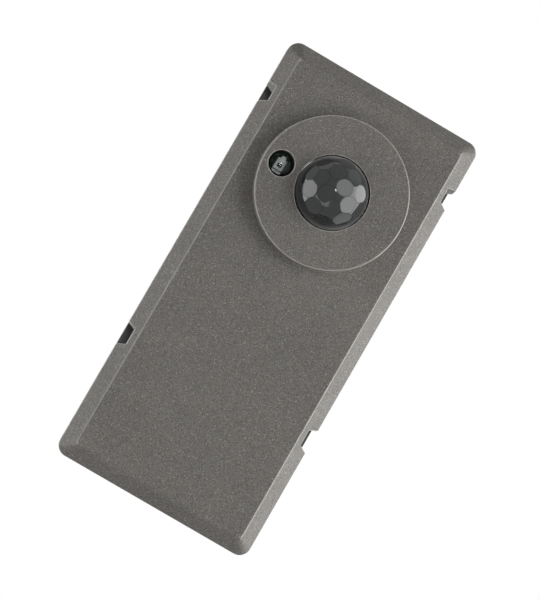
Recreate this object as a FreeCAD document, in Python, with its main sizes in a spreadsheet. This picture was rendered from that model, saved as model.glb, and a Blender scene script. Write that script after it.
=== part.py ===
import FreeCAD, Part
import os
import re
import Sketcher

# One-module wall insert: a touch dimmer with a presence sensor dome and a light sensor window.
# X is right seen from the front, Z is up towards the sensor end, and Y runs back into the wall.
# The origin is the centre of the seat, where the carrier's ledge rests on the mounting frame.
# A depth level is a distance in front of that seat, along -Y; what lies behind it is negative.

POLES = 4
SIDES = (-1, 1)

# Driving dimensions in millimetres: name, value, meaning
SIZES = (
    ("cover_width", 22.4, "cover, side to side"),
    ("cover_height", 48.9, "cover, end to end"),
    ("cover_corner", 1.25, "corner radius of the cover seen from the front"),
    ("cover_wall", 1.3, "side wall of the cover"),
    ("cover_gap", 0.2, "play between cover and carrier"),
    ("skirt_edge", 3.8, "level of the cover's rear edge"),
    ("skirt_height", 1.6, "straight part of the cover's side"),
    ("bevel_width", 1.5, "bevel, seen from the front"),
    ("bevel_height", 1.5, "bevel, front to back"),
    ("bevel_corner", 0.4, "corner radius of the flat face"),
    ("bevel_relief", 0.6, "chamfer inside the cover behind its bevel"),
    ("face_wall", 1.1, "thickness of the cover's face"),
    ("disc_rim", 0.65, "disc's edge beyond the light window"),
    ("disc_height", 1.5, "raised disc above the face"),
    ("disc_edge", 0.3, "rounding of the disc's edge"),
    ("disc_drop", 12.15, "disc centre below the cover's upper end"),
    ("disc_wall", 1.2, "thickness of the disc's top"),
    ("disc_side", 1.4, "thickness of the disc's side"),
    ("hole_rounding", 0.12, "broken edge of the dome hole and the window"),
    ("dome_radius", 3.8, "sensor dome"),
    ("dome_rise", 3.2, "dome above the disc"),
    ("dome_gap", 0.15, "gap round the dome"),
    ("dome_wall", 0.75, "thickness of the dome"),
    ("facet_sphere", 9.0, "radius of curvature of one facet"),
    ("facet_cut", 0.066, "how far a facet's middle lies under the dome"),
    ("collar_wide", 0.5, "collar of the dome beyond the dome"),
    ("collar_height", 0.85, "collar, front to back"),
    ("collar_gap", 0.25, "collar to the disc's underside"),
    ("foot_wide", 0.3, "foot of the dome beyond the dome"),
    ("window_radius", 1.35, "light window"),
    ("window_clear", 0.45, "light sensor's sleeve left of the dome's collar"),
    ("sleeve_gap", 0.1, "play round the light sensor's sleeve"),
    ("sleeve_depth", 0.5, "sleeve below the disc's top"),
    ("sleeve_wall", 0.15, "wall of the sleeve round the resin"),
    ("sleeve_relief", 0.3, "free space round the sleeve inside the cover"),
    ("resin_depth", 1.0, "resin below the disc's top"),
    ("resin_height", 1.75, "height of the resin body"),
    ("resin_gap", 0.04, "resin in its sleeve"),
    ("lead_channel", 0.9, "radius of the channel for the sensor's leads"),
    ("frame_depth", 0.55, "leadframe below the resin's top"),
    ("frame_sheet", 0.15, "thickness of the leadframe"),
    ("paddle_width", 1.26, "leadframe paddle"),
    ("paddle_height", 1.16, "leadframe paddle"),
    ("neck_width", 0.6, "leadframe neck"),
    ("neck_height", 0.3, "leadframe neck"),
    ("lead_width", 0.3, "leads of the light sensor"),
    ("pad_gap", 0.12, "slot between the paddle and the second lead"),
    ("pad_height", 0.22, "pad of the second lead"),
    ("pad_width", 0.9, "pad of the second lead"),
    ("die_width", 0.48, "light sensor chip"),
    ("die_height", 0.37, "light sensor chip"),
    ("die_drop", 0.13, "chip below the window's centre"),
    ("notch_mouth", 2.6, "side notch at the cover's outline"),
    ("notch_root", 1.74, "side notch at its inner wall"),
    ("notch_depth", 0.9, "side notch, from the outline"),
    ("notch_over", 0.05, "side notch cuts, past the outline"),
    ("notch_ramp", 0.55, "upper end of the upper notches, from the cover's front to its rear edge"),
    ("notch_drop", 6.1, "upper notches below the cover's upper end"),
    ("notch_rise", 13.85, "lower notches above the cover's lower end"),
    ("leg_width", 1.7, "snap leg of the cover"),
    ("leg_thickness", 0.55, "snap leg of the cover"),
    ("leg_end", 1.6, "level of the snap leg's end"),
    ("nose_height", 0.2, "nose of the snap leg"),
    ("nose_length", 0.7, "nose of the snap leg, front to back"),
    ("nose_gap", 0.05, "nose to the lip that it bends past"),
    ("leg_play", 0.3, "snap leg in its slot"),
    ("catch_depth", 0.2, "recess for the nose behind the lip"),
    ("ledge_inset", 0.15, "carrier's ledge inside the cover's outline"),
    ("ledge_height", 1.2, "thickness of the ledge"),
    ("ledge_corner", 1.0, "corner radius of the ledge"),
    ("carrier_wall", 1.0, "walls of the carrier"),
    ("carrier_drop", 0.8, "carrier's walls below the cover's face"),
    ("deck_recess", 0.6, "deck below the carrier's walls"),
    ("deck_thickness", 1.0, "deck of the carrier"),
    ("post_height", 1.4, "posts between deck and front board"),
    ("post_radius", 0.9, "posts"),
    ("stake_radius", 0.45, "heat stakes through the front board"),
    ("stake_proud", 0.3, "heat stakes behind the front board"),
    ("stake_gap", 0.08, "stakes in their holes"),
    ("post_side", 1.2, "posts from the front board's sides"),
    ("post_up", 5.2, "upper posts above the centre"),
    ("post_end", 1.6, "lower posts from the front board's lower end"),
    ("arm_gap", 0.15, "frame latch to the housing's end"),
    ("arm_thickness", 0.8, "frame latch"),
    ("arm_width", 4.0, "frame latch"),
    ("arm_across", 5.0, "frame latch from the centre line"),
    ("arm_length", 9.0, "frame latch behind the seat"),
    ("rail_thickness", 2.2, "mounting frame held between ledge and tooth"),
    ("tooth_height", 0.9, "tooth of the frame latch"),
    ("tooth_length", 4.3, "tooth with its ramp, front to back"),
    ("housing_inset", 1.05, "housing inside the cover's outline"),
    ("housing_end", 2.45, "housing inside the cover's ends"),
    ("housing_depth", 31.0, "rear housing behind the seat"),
    ("housing_corner", 1.0, "rounded edges of the housing"),
    ("housing_wall", 1.2, "walls of the housing"),
    ("housing_back", 1.4, "rear wall of the housing"),
    ("spigot_gap", 0.1, "carrier's spigot in the housing"),
    ("spigot_length", 2.6, "carrier's spigot"),
    ("clip_up", 10.0, "housing clips above and below the centre"),
    ("clip_width", 3.2, "housing clip"),
    ("clip_height", 0.9, "housing clip"),
    ("clip_length", 1.1, "housing clip, front to back"),
    ("clip_start", 0.8, "housing clip behind the seat"),
    ("clip_gap", 0.15, "housing clip in its window"),
    ("vent_count", 4, "vent slots in the upper end"),
    ("vent_width", 1.2, "vent slot"),
    ("vent_length", 12.0, "vent slot"),
    ("vent_pitch", 2.6, "vent slots, one to the next"),
    ("vent_start", 16.0, "first vent slot behind the seat"),
    ("rib_across", 1.2, "ribs that carry the mains board"),
    ("rib_width", 1.2, "ribs that carry the mains board"),
    ("rib_end", 7.8, "upper ribs below the housing's inner end"),
    ("rib_rise", 3.5, "lower ribs above the terminals' step"),
    ("board_gap", 0.2, "play round the circuit boards"),
    ("front_board_thickness", 1.0, "front board"),
    ("power_board_level", 16.4, "mains board's front behind the seat"),
    ("power_board_thickness", 1.6, "mains board"),
    ("pyro_play", 0.24, "corners of the sensor can in that hole"),
    ("pyro_height", 2.1, "presence sensor can, front to back"),
    ("pyro_side", 0.7, "can beside its window"),
    ("pyro_end", 0.95, "can above and below its window"),
    ("pyro_window_sheet", 0.25, "presence sensor window"),
    ("pyro_window_sunk", 0.1, "window below the can's top"),
    ("hole_inset", 0.45, "hole in the deck inside the dome's radius"),
    ("electrode_side", 1.1, "touch plate from the carrier's sides"),
    ("electrode_end", 1.95, "touch plate from the carrier's lower end"),
    ("electrode_below", 4.1, "touch plate below the middle of the controls"),
    ("electrode_sheet", 0.3, "touch plate"),
    ("electrode_gap", 0.2, "touch plate behind the cover's face"),
    ("electrode_leg", 1.2, "width of a leg of the touch plate"),
    ("electrode_leg_end", 3.7, "its legs from its ends"),
    ("electrode_hole", 0.9, "holes of the touch plate"),
    ("electrode_pitch", 3.4, "holes of the touch plate"),
    ("leg_slot_gap", 0.3, "legs of the touch plate in the deck"),
    ("trimmer_width", 3.6, "trimmer"),
    ("trimmer_height", 1.2, "trimmer, front to back"),
    ("trimmer_side", 1.4, "trimmers from the front board's sides"),
    ("control_up", 0.5, "trimmers and button above the centre"),
    ("dial_radius", 1.4, "trimmer's dial"),
    ("dial_height", 0.95, "trimmer's dial"),
    ("dial_gap", 0.05, "dial above its body and round its shaft"),
    ("dial_shaft", 0.5, "shaft of the dial"),
    ("dial_shaft_length", 0.9, "shaft of the dial"),
    ("dial_slot_width", 0.45, "screwdriver slot of the dial"),
    ("dial_slot_depth", 0.45, "screwdriver slot of the dial"),
    ("dial_slot_end", 0.35, "screwdriver slot from the dial's edge"),
    ("control_gap", 0.3, "holes in the deck round dials and button"),
    ("switch_width", 3.0, "set-up switch"),
    ("switch_height", 1.1, "set-up switch"),
    ("button_radius", 0.8, "set-up button"),
    ("button_gap", 0.05, "set-up button in its switch"),
    ("button_foot", 0.75, "set-up button's foot above the board"),
    ("button_length", 1.85, "set-up button"),
    ("button_dome", 0.25, "rounded end of the set-up button"),
    ("chip_width", 3.9, "touch controller"),
    ("chip_height", 4.9, "touch controller"),
    ("chip_thickness", 1.1, "touch controller"),
    ("chip_edge", 0.25, "bevelled edge of the chips"),
    ("processor_width", 7.0, "microcontroller"),
    ("processor_thickness", 1.4, "microcontroller"),
    ("processor_down", 6.0, "microcontroller below the centre"),
    ("pin_pitch", 2.0, "board link pins"),
    ("pin_count", 6, "board link pins"),
    ("pin_width", 0.5, "board link pins"),
    ("pin_hole", 0.45, "radius of the board link's holes"),
    ("pin_proud", 0.6, "board link pins past the boards"),
    ("link_end", 1.1, "board link from the front board's upper end"),
    ("link_width", 1.9, "body of the board link"),
    ("link_height", 4.0, "body of the board link"),
    ("film_width", 13.0, "film capacitor"),
    ("film_thickness", 4.0, "film capacitor"),
    ("film_clear", 2.1, "film capacitor to the housing's rear wall"),
    ("film_gap", 0.2, "film capacitor below the board link's pins"),
    ("film_edge", 0.6, "edges of the film capacitor"),
    ("choke_radius", 5.0, "choke's core"),
    ("choke_clear", 1.6, "choke to the housing's rear wall"),
    ("choke_flange", 1.2, "choke's core"),
    ("choke_hub", 2.6, "choke's core"),
    ("choke_gap", 2.9, "choke below the varistor's leads"),
    ("winding_gap", 0.1, "winding to the core"),
    ("winding_wire", 0.8, "wire of the winding"),
    ("winding_turns", 8, "turns in the outer layer"),
    ("can_radius", 3.15, "electrolytic capacitor"),
    ("can_height", 11.0, "electrolytic capacitor"),
    ("can_side", 1.35, "electrolytic capacitor to the housing's wall"),
    ("can_gap", 1.7, "electrolytic capacitor below the board link"),
    ("can_bead", 0.3, "bead round the electrolytic capacitor"),
    ("varistor_radius", 3.6, "varistor"),
    ("varistor_thickness", 3.2, "varistor"),
    ("varistor_side", 1.5, "varistor to the housing's wall"),
    ("varistor_gap", 0.25, "varistor's leads below the film capacitor"),
    ("varistor_lift", 1.4, "varistor off the mains board"),
    ("wire_radius", 0.3, "leads of the varistor"),
    ("wire_across", 2.5, "leads of the varistor from its centre"),
    ("fuse_radius", 4.1, "fuse"),
    ("fuse_height", 7.7, "fuse"),
    ("fuse_side", 1.0, "fuse to the housing's wall"),
    ("fuse_gap", 1.6, "fuse below the varistor"),
    ("bridge_width", 4.7, "bridge rectifier"),
    ("bridge_height", 5.0, "bridge rectifier"),
    ("bridge_thickness", 2.5, "bridge rectifier"),
    ("bridge_side", 2.15, "bridge rectifier to the housing's wall"),
    ("bridge_gap", 2.15, "bridge rectifier below the electrolytic capacitor"),
    ("transistor_width", 6.5, "power transistors"),
    ("transistor_height", 6.1, "power transistors"),
    ("transistor_thickness", 2.3, "power transistors"),
    ("transistor_side", 1.85, "power transistors to the housing's walls"),
    ("spreader_gap", 2.6, "cooling plate above the contact bars"),
    ("spreader_side", 1.0, "cooling plate to the housing's walls"),
    ("spreader_height", 9.6, "cooling plate"),
    ("spreader_sheet", 1.0, "cooling plate"),
    ("spreader_flange", 4.0, "turned-up end of the cooling plate"),
    ("pole_pitch", 5.0, "terminals, one to the next"),
    ("block_clear", 1.5, "step of the housing behind the mains board"),
    ("block_height", 10.3, "terminal block, end to end"),
    ("block_gap", 0.1, "terminal block to the housing"),
    ("block_back", 2.0, "rear wall of the terminal block"),
    ("block_top", 0.6, "upper wall of the terminal block"),
    ("step_wall", 1.1, "housing wall above the terminal block"),
    ("chamber_width", 3.9, "chamber of one terminal"),
    ("chamber_floor", 2.6, "lower wall of the terminal block"),
    ("entry_radius", 1.1, "wire entry"),
    ("entry_funnel", 0.5, "funnel of the wire entry"),
    ("screw_ahead", 5.4, "clamp screws ahead of the housing's rear"),
    ("screw_head", 1.6, "head radius of the clamp screw"),
    ("screw_head_gap", 0.15, "screw head in its hole"),
    ("screw_head_height", 1.5, "head of the clamp screw"),
    ("screw_sunk", 0.4, "screw head inside the block's lower face"),
    ("shank_side", 0.05, "shank to the clamp's side walls"),
    ("screw_gap", 0.05, "shank in its hole and in the clamp"),
    ("screw_slot", 0.5, "slot of the clamp screw"),
    ("screw_slot_depth", 0.7, "slot of the clamp screw"),
    ("cage_gap", 0.15, "clamp in its chamber"),
    ("cage_wall", 0.7, "walls of the clamp"),
    ("cage_side", 0.55, "side walls of the clamp"),
    ("cage_clear", 0.35, "closed clamp above the floor of its chamber"),
    ("cage_length", 4.8, "clamp, front to back"),
    ("clamp_travel", 1.8, "way of the clamp from open to closed"),
    ("bar_side", 0.25, "contact bar to the clamp's side walls"),
    ("bar_thickness", 0.8, "contact bar"),
    ("bar_pin", 0.9, "width of the contact bar's solder pin"),
    ("bar_clear", 0.35, "open clamp's floor below the contact bar"),
    ("bar_hole", 0.8, "radius of the solder pin's hole"),
    ("bar_end", 0.6, "contact bar before the chamber's rear wall"),
)

# Levels and places that follow from the driving dimensions
PLACES = {
    "bevel_start": "skirt_edge + skirt_height",
    "face_level": "bevel_start + bevel_height",
    "ceiling": "face_level - face_wall",
    "disc_top": "face_level + disc_height",
    "disc_ceiling": "disc_top - disc_wall",
    "half_width": "cover_width / 2",
    "half_height": "cover_height / 2",
    "disc_up": "half_height - disc_drop",
    "notch_up": "half_height - notch_drop",
    "notch_down": "half_height - notch_rise",
    "cavity_x": "half_width - cover_wall",
    "cavity_z": "half_height - cover_wall",
    "hole_radius": "dome_radius + dome_gap",
    "leg_inner": "cavity_x - leg_thickness",
    "slot_floor": "leg_inner - nose_height - nose_gap",
    "ledge_x": "half_width - ledge_inset",
    "ledge_z": "half_height - ledge_inset",
    "wall_x": "cavity_x - cover_gap",
    "wall_z": "cavity_z - cover_gap",
    "wall_top": "ceiling - carrier_drop",
    "bay_x": "wall_x - carrier_wall",
    "bay_z": "wall_z - carrier_wall",
    "deck_top": "wall_top - deck_recess",
    "deck_bottom": "deck_top - deck_thickness",
    "board_front": "deck_bottom - post_height",
    "board_back": "board_front - front_board_thickness",
    "housing_x": "half_width - housing_inset",
    "housing_height": "cover_height - 2 * housing_end",
    "housing_z": "housing_height / 2",
    "inner_x": "housing_x - housing_wall",
    "inner_z": "housing_z - housing_wall",
    "spigot_x": "inner_x - spigot_gap",
    "spigot_z": "inner_z - spigot_gap",
    "throat_x": "spigot_x - carrier_wall",
    "throat_z": "spigot_z - carrier_wall",
    "board_x": "throat_x - board_gap",
    "board_z": "throat_z - board_gap",
    "post_across": "board_x - post_side",
    "post_down": "board_z - post_end",
    "trimmer_across": "board_x - trimmer_side - trimmer_width / 2",
    "link_up": "board_z - link_end",
    "arm_inner": "housing_z + arm_gap",
    "arm_outer": "arm_inner + arm_thickness",
    "back_level": "-housing_depth",
    "power_front": "-power_board_level",
    "power_back": "power_front - power_board_thickness",
    "dome_centre": "disc_top + dome_rise - dome_radius",
    "collar_radius": "dome_radius + collar_wide",
    "lens_skirt": "dome_radius + foot_wide",
    "collar_top": "disc_ceiling - collar_gap",
    "collar_bottom": "collar_top - collar_height",
    "sleeve_radius": "window_radius - sleeve_gap",
    "window_left": "collar_radius + window_clear + sleeve_radius",
    "disc_radius": "window_left + window_radius + disc_rim",
    "sensor_hole": "dome_radius - hole_inset",
    "pyro_width": "(sensor_hole - pyro_play) * 2 * cos(45 deg)",
    "sleeve_top": "disc_top - sleeve_depth",
    "resin_radius": "sleeve_radius - sleeve_wall - resin_gap",
    "resin_top": "disc_top - resin_depth",
    "resin_bottom": "resin_top - resin_height",
    "paddle_top": "resin_top - frame_depth",
    "paddle_bottom": "paddle_top - frame_sheet",
    "electrode_top": "ceiling - electrode_gap",
    "electrode_bottom": "electrode_top - electrode_sheet",
    "electrode_width": "2 * (bay_x - electrode_side)",
    "electrode_low": "electrode_end - bay_z",
    "electrode_high": "control_up - electrode_below",
    "electrode_height": "electrode_high - electrode_low",
    "electrode_down": "-(electrode_low + electrode_high) / 2",
    "electrode_leg_up": "electrode_height / 2 - electrode_leg_end",
    "dial_bottom": "board_front + trimmer_height + dial_gap",
    "rear_space": "housing_depth - housing_back - power_board_level - power_board_thickness",
    "film_height": "rear_space - film_clear",
    "film_up": "link_up - pin_width / 2 - film_gap - film_thickness / 2",
    "varistor_up": "film_up - film_thickness / 2 - varistor_gap - wire_radius",
    "varistor_across": "inner_x - varistor_side - varistor_radius",
    "choke_height": "rear_space - choke_clear",
    "choke_up": "varistor_up - wire_radius - choke_gap - choke_radius",
    "can_up": "link_up - link_width / 2 - can_gap - can_radius",
    "can_across": "inner_x - can_side - can_radius",
    "fuse_up": "varistor_up - varistor_thickness / 2 - fuse_gap - fuse_radius",
    "fuse_across": "inner_x - fuse_side - fuse_radius",
    "bridge_up": "can_up - can_radius - bridge_gap - bridge_height / 2",
    "bridge_across": "inner_x - bridge_side - bridge_width / 2",
    "transistor_across": "inner_x - transistor_side - transistor_width / 2",
    "transistor_up": "bar_top + spreader_gap + spreader_height / 2",
    "spreader_width": "2 * (inner_x - spreader_side)",
    "block_bottom": "-housing_z",
    "block_level": "block_clear - power_back",
    "block_upper": "block_bottom + block_height",
    "step_z": "block_upper + block_gap",
    "rib_up": "inner_z - rib_end",
    "rib_down": "-(step_z + step_wall + rib_rise)",
    "plug_bottom": "-inner_z + block_gap",
    "chamber_bottom": "block_bottom + chamber_floor",
    "chamber_top": "block_upper - block_top",
    "chamber_back": "back_level + block_back",
    "screw_level": "housing_depth - screw_ahead",
    "screw_shank": "chamber_width / 2 - cage_gap - cage_side - shank_side",
    "cage_top": "chamber_top - cage_gap",
    "cage_height": "cage_top - chamber_bottom - clamp_travel - cage_clear",
    "cage_bottom": "cage_top - cage_height",
    "cage_floor": "cage_bottom + cage_wall",
    "bar_width": "chamber_width - 2 * (cage_gap + cage_side + bar_side)",
    "bar_bottom": "cage_floor + bar_clear",
    "bar_top": "bar_bottom + bar_thickness",
    "entry_z": "(bar_top + cage_top - cage_wall) / 2",
    "head_bottom": "block_bottom + screw_sunk",
    "head_top": "head_bottom + screw_head_height",
}

# Facets of the dome, as read from the front: tilt from the axis and bearing from the right, in degrees
FACETS = (
    (19, 214), (11, 59), (34.5, 170), (30, 118), (41.5, 71), (47, 202.5), (45, 241), (29, 276),
    (27, 335), (41, 26), (49, 349), (47, 312), (50, 277), (58, 170), (49, 137), (55, 103),
)

doc = FreeCAD.newDocument("touch_dimmer")
sheet = doc.addObject("Spreadsheet::Sheet", "Sizes")
for row, (alias, value, meaning) in enumerate(SIZES, start=1):
    sheet.set(f"A{row}", meaning)
    sheet.set(f"B{row}", str(value))
    sheet.setAlias(f"B{row}", alias)
doc.recompute()

ALIASES = {alias for alias, value, meaning in SIZES}
NODES = []


def bound(text):
    """Write an expression in the sheet's terms: a place becomes its formula, an alias its cell."""
    def replace(match):
        word = match.group(0)
        if word in PLACES:
            return "(" + bound(PLACES[word]) + ")"
        return "Sizes." + word if word in ALIASES else word
    return re.sub(r"[A-Za-z_]\w*", replace, str(text))


def number(text):
    """The present value of an expression."""
    return float(sheet.evalExpression(bound(text)))


def node(item):
    """Mark an object as a piece of its own, to be written to its file."""
    NODES.append(item)
    return item


def piece(name):
    """An empty body for one piece."""
    return node(doc.addObject("PartDesign::Body", name))


def new_sketch(body, name, plane, level, shift=("0", "0")):
    """A sketch on one of the body's own origin planes, moved out along the plane's normal."""
    sketch = body.newObject("Sketcher::SketchObject", name)
    support = [item for item in body.Origin.OriginFeatures if item.Role == plane][0]
    sketch.AttachmentSupport = (support, "")
    sketch.MapMode = "FlatFace"
    sketch.setExpression("AttachmentOffset.Base.x", bound(shift[0]))
    sketch.setExpression("AttachmentOffset.Base.y", bound(shift[1]))
    sketch.setExpression("AttachmentOffset.Base.z", bound(level))
    return sketch


def fix_point(sketch, geometry, end, x, y):
    """Tie one point of a sketch to the origin by two sizes."""
    for kind, text in (("DistanceX", x), ("DistanceY", y)):
        index = sketch.addConstraint(Sketcher.Constraint(kind, -1, 1, geometry, end, number(text)))
        sketch.setExpression(f"Constraints[{index}]", bound(text))


def add_polygon(sketch, points):
    """Straight outline through points given as pairs of expressions."""
    first = sketch.GeometryCount
    count = len(points)
    spots = [FreeCAD.Vector(number(x), number(y), 0) for x, y in points]
    for index in range(count):
        sketch.addGeometry(Part.LineSegment(spots[index], spots[(index + 1) % count]), False)
    for index in range(count):
        following = first + (index + 1) % count
        sketch.addConstraint(Sketcher.Constraint("Coincident", first + index, 2, following, 1))
        fix_point(sketch, first + index, 1, *points[index])


def add_rectangle(sketch, low_x, high_x, low_y, high_y):
    add_polygon(sketch, ((low_x, low_y), (high_x, low_y), (high_x, high_y), (low_x, high_y)))


def add_circle(sketch, x, y, radius):
    centre = FreeCAD.Vector(number(x), number(y), 0)
    circle = Part.Circle(centre, FreeCAD.Vector(0, 0, 1), number(radius))
    index = sketch.addGeometry(circle, False)
    fix_point(sketch, index, 3, x, y)
    size = sketch.addConstraint(Sketcher.Constraint("Radius", index, number(radius)))
    sketch.setExpression(f"Constraints[{size}]", bound(radius))


def add_rounded(sketch, half_x, half_y, radius):
    """Rectangle about the origin with round corners, side by side with its arcs."""
    quarter = 1.5707963267948966
    corner = number(radius)
    lines = []
    arcs = []
    for turn, (sx, sy) in enumerate(((1, -1), (1, 1), (-1, 1), (-1, -1))):
        middle = FreeCAD.Vector(sx * (number(half_x) - corner), sy * (number(half_y) - corner), 0)
        circle = Part.Circle(middle, FreeCAD.Vector(0, 0, 1), corner)
        arc = Part.ArcOfCircle(circle, (turn - 1) * quarter, turn * quarter)
        arcs.append(sketch.addGeometry(arc, False))
    for turn in range(4):
        start = sketch.getPoint(arcs[turn], 2)
        end = sketch.getPoint(arcs[(turn + 1) % 4], 1)
        lines.append(sketch.addGeometry(Part.LineSegment(start, end), False))
    inset_x = f"({half_x} - {radius})"
    inset_y = f"({half_y} - {radius})"
    left = f"-({half_x})"
    below = f"-({half_y})"
    starts = ((half_x, "-" + inset_y), (inset_x, half_y), (left, inset_y), ("-" + inset_x, below))
    ends = ((half_x, inset_y), ("-" + inset_x, half_y), (left, "-" + inset_y), (inset_x, below))
    for turn in range(4):
        sketch.addConstraint(Sketcher.Constraint("Coincident", lines[turn], 1, arcs[turn], 2))
        sketch.addConstraint(Sketcher.Constraint("Coincident", lines[turn], 2, arcs[(turn + 1) % 4], 1))
        fix_point(sketch, lines[turn], 1, *starts[turn])
        fix_point(sketch, lines[turn], 2, *ends[turn])
        size = sketch.addConstraint(Sketcher.Constraint("Radius", arcs[turn], corner))
        sketch.setExpression(f"Constraints[{size}]", bound(radius))


def pad(body, sketch, length):
    """Raise a sketch along its normal: towards the front, up or to the right."""
    feature = body.newObject("PartDesign::Pad", sketch.Name + "_pad")
    feature.Profile = sketch
    feature.setExpression("Length", bound(length))
    sketch.Visibility = False
    doc.recompute()
    return feature


def pocket(body, sketch, length):
    """Cut a sketch against its normal: towards the back, down or to the left."""
    before = body.Shape.Volume
    feature = body.newObject("PartDesign::Pocket", sketch.Name + "_pocket")
    feature.Profile = sketch
    feature.setExpression("Length", bound(length))
    sketch.Visibility = False
    doc.recompute()
    if not body.Shape.Volume < before:
        raise RuntimeError(feature.Name + " cuts nothing")
    return feature


def dress(body, kind, name, size, wanted):
    """Round (Fillet) or bevel (Chamfer) the edges of the body so far that pass a test."""
    base = body.Tip
    names = [f"Edge{index}" for index, edge in enumerate(base.Shape.Edges, start=1) if wanted(edge)]
    if not names:
        raise RuntimeError(name + " finds no edge")
    feature = body.newObject("PartDesign::" + kind, name)
    feature.Base = (base, names)
    feature.setExpression("Radius" if kind == "Fillet" else "Size", bound(size))
    doc.recompute()
    return feature


def is_depthwise(edge):
    box = edge.BoundBox
    return box.XLength < 1e-4 and box.ZLength < 1e-4


def at_level(edge, level):
    box = edge.BoundBox
    return abs(box.YMin + number(level)) < 1e-4 and abs(box.YMax + number(level)) < 1e-4


def is_round(edge, radius):
    return abs(edge.BoundBox.XLength - 2 * number(radius)) < 1e-4


def flat_sketch(body, name, level):
    """A sketch seen from the front, at a depth level."""
    return new_sketch(body, name, "XZ_Plane", level)


def slab(body, name, x, z, level, length):
    """A rectangular pad seen from the front: x and z are pairs of limits."""
    sketch = flat_sketch(body, name, level)
    add_rectangle(sketch, x[0], x[1], z[0], z[1])
    return pad(body, sketch, length)


def sink(body, name, x, z, level, length):
    """A rectangular pocket seen from the front, from its level backwards."""
    sketch = flat_sketch(body, name, level)
    add_rectangle(sketch, x[0], x[1], z[0], z[1])
    return pocket(body, sketch, length)


def drill(body, name, spots, level, length):
    """Round pockets seen from the front: spots are x, z and radius."""
    sketch = flat_sketch(body, name, level)
    for x, z, radius in spots:
        add_circle(sketch, x, z, radius)
    return pocket(body, sketch, length)


def turn(body, name, x, z, points):
    """A revolved piece about a line along the depth: points are radius and level."""
    sketch = new_sketch(body, name, "XY_Plane", z, (x, "0"))
    add_polygon(sketch, [(radius, f"-({level})") for radius, level in points])
    feature = body.newObject("PartDesign::Revolution", name + "_turned")
    feature.Profile = sketch
    feature.ReferenceAxis = (sketch, ["V_Axis"])
    feature.Angle = 360
    sketch.Visibility = False
    doc.recompute()
    return feature


def place(item, x, level, z):
    item.setExpression("Placement.Base.x", bound(x))
    item.setExpression("Placement.Base.y", bound(f"-({level})"))
    item.setExpression("Placement.Base.z", bound(z))
    return item


def block(name, x, level, z):
    """A plain box from pairs of limits."""
    item = doc.addObject("Part::Box", name)
    item.setExpression("Length", bound(f"({x[1]}) - ({x[0]})"))
    item.setExpression("Width", bound(f"({level[1]}) - ({level[0]})"))
    item.setExpression("Height", bound(f"({z[1]}) - ({z[0]})"))
    return place(item, x[0], level[1], z[0])


def rod(name, x, z, radius, level):
    """A plain cylinder along the depth, from one level to the other."""
    item = doc.addObject("Part::Cylinder", name)
    item.Placement.Rotation = FreeCAD.Rotation(FreeCAD.Vector(1, 0, 0), 90)
    item.setExpression("Radius", bound(radius))
    item.setExpression("Height", bound(f"({level[1]}) - ({level[0]})"))
    return place(item, x, level[0], z)


def fuse(name, items):
    item = doc.addObject("Part::MultiFuse", name)
    item.Shapes = items
    item.Refine = True
    return item


def group(name, items):
    """Separate solids that share one node."""
    item = doc.addObject("Part::Compound", name)
    item.Links = items
    return node(item)


def pole_x(pole):
    """Centre of one terminal, counted from the left."""
    return f"({pole - (POLES - 1) / 2} * pole_pitch)"


def notch_places():
    """The four side notches: which side, and how far above the centre."""
    return [(side, up) for side in SIDES for up in ("notch_up", "-notch_down")]


def near(centre, reach):
    """Limits to both sides of a centre."""
    return (f"{centre} - {reach}", f"{centre} + {reach}")


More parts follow.
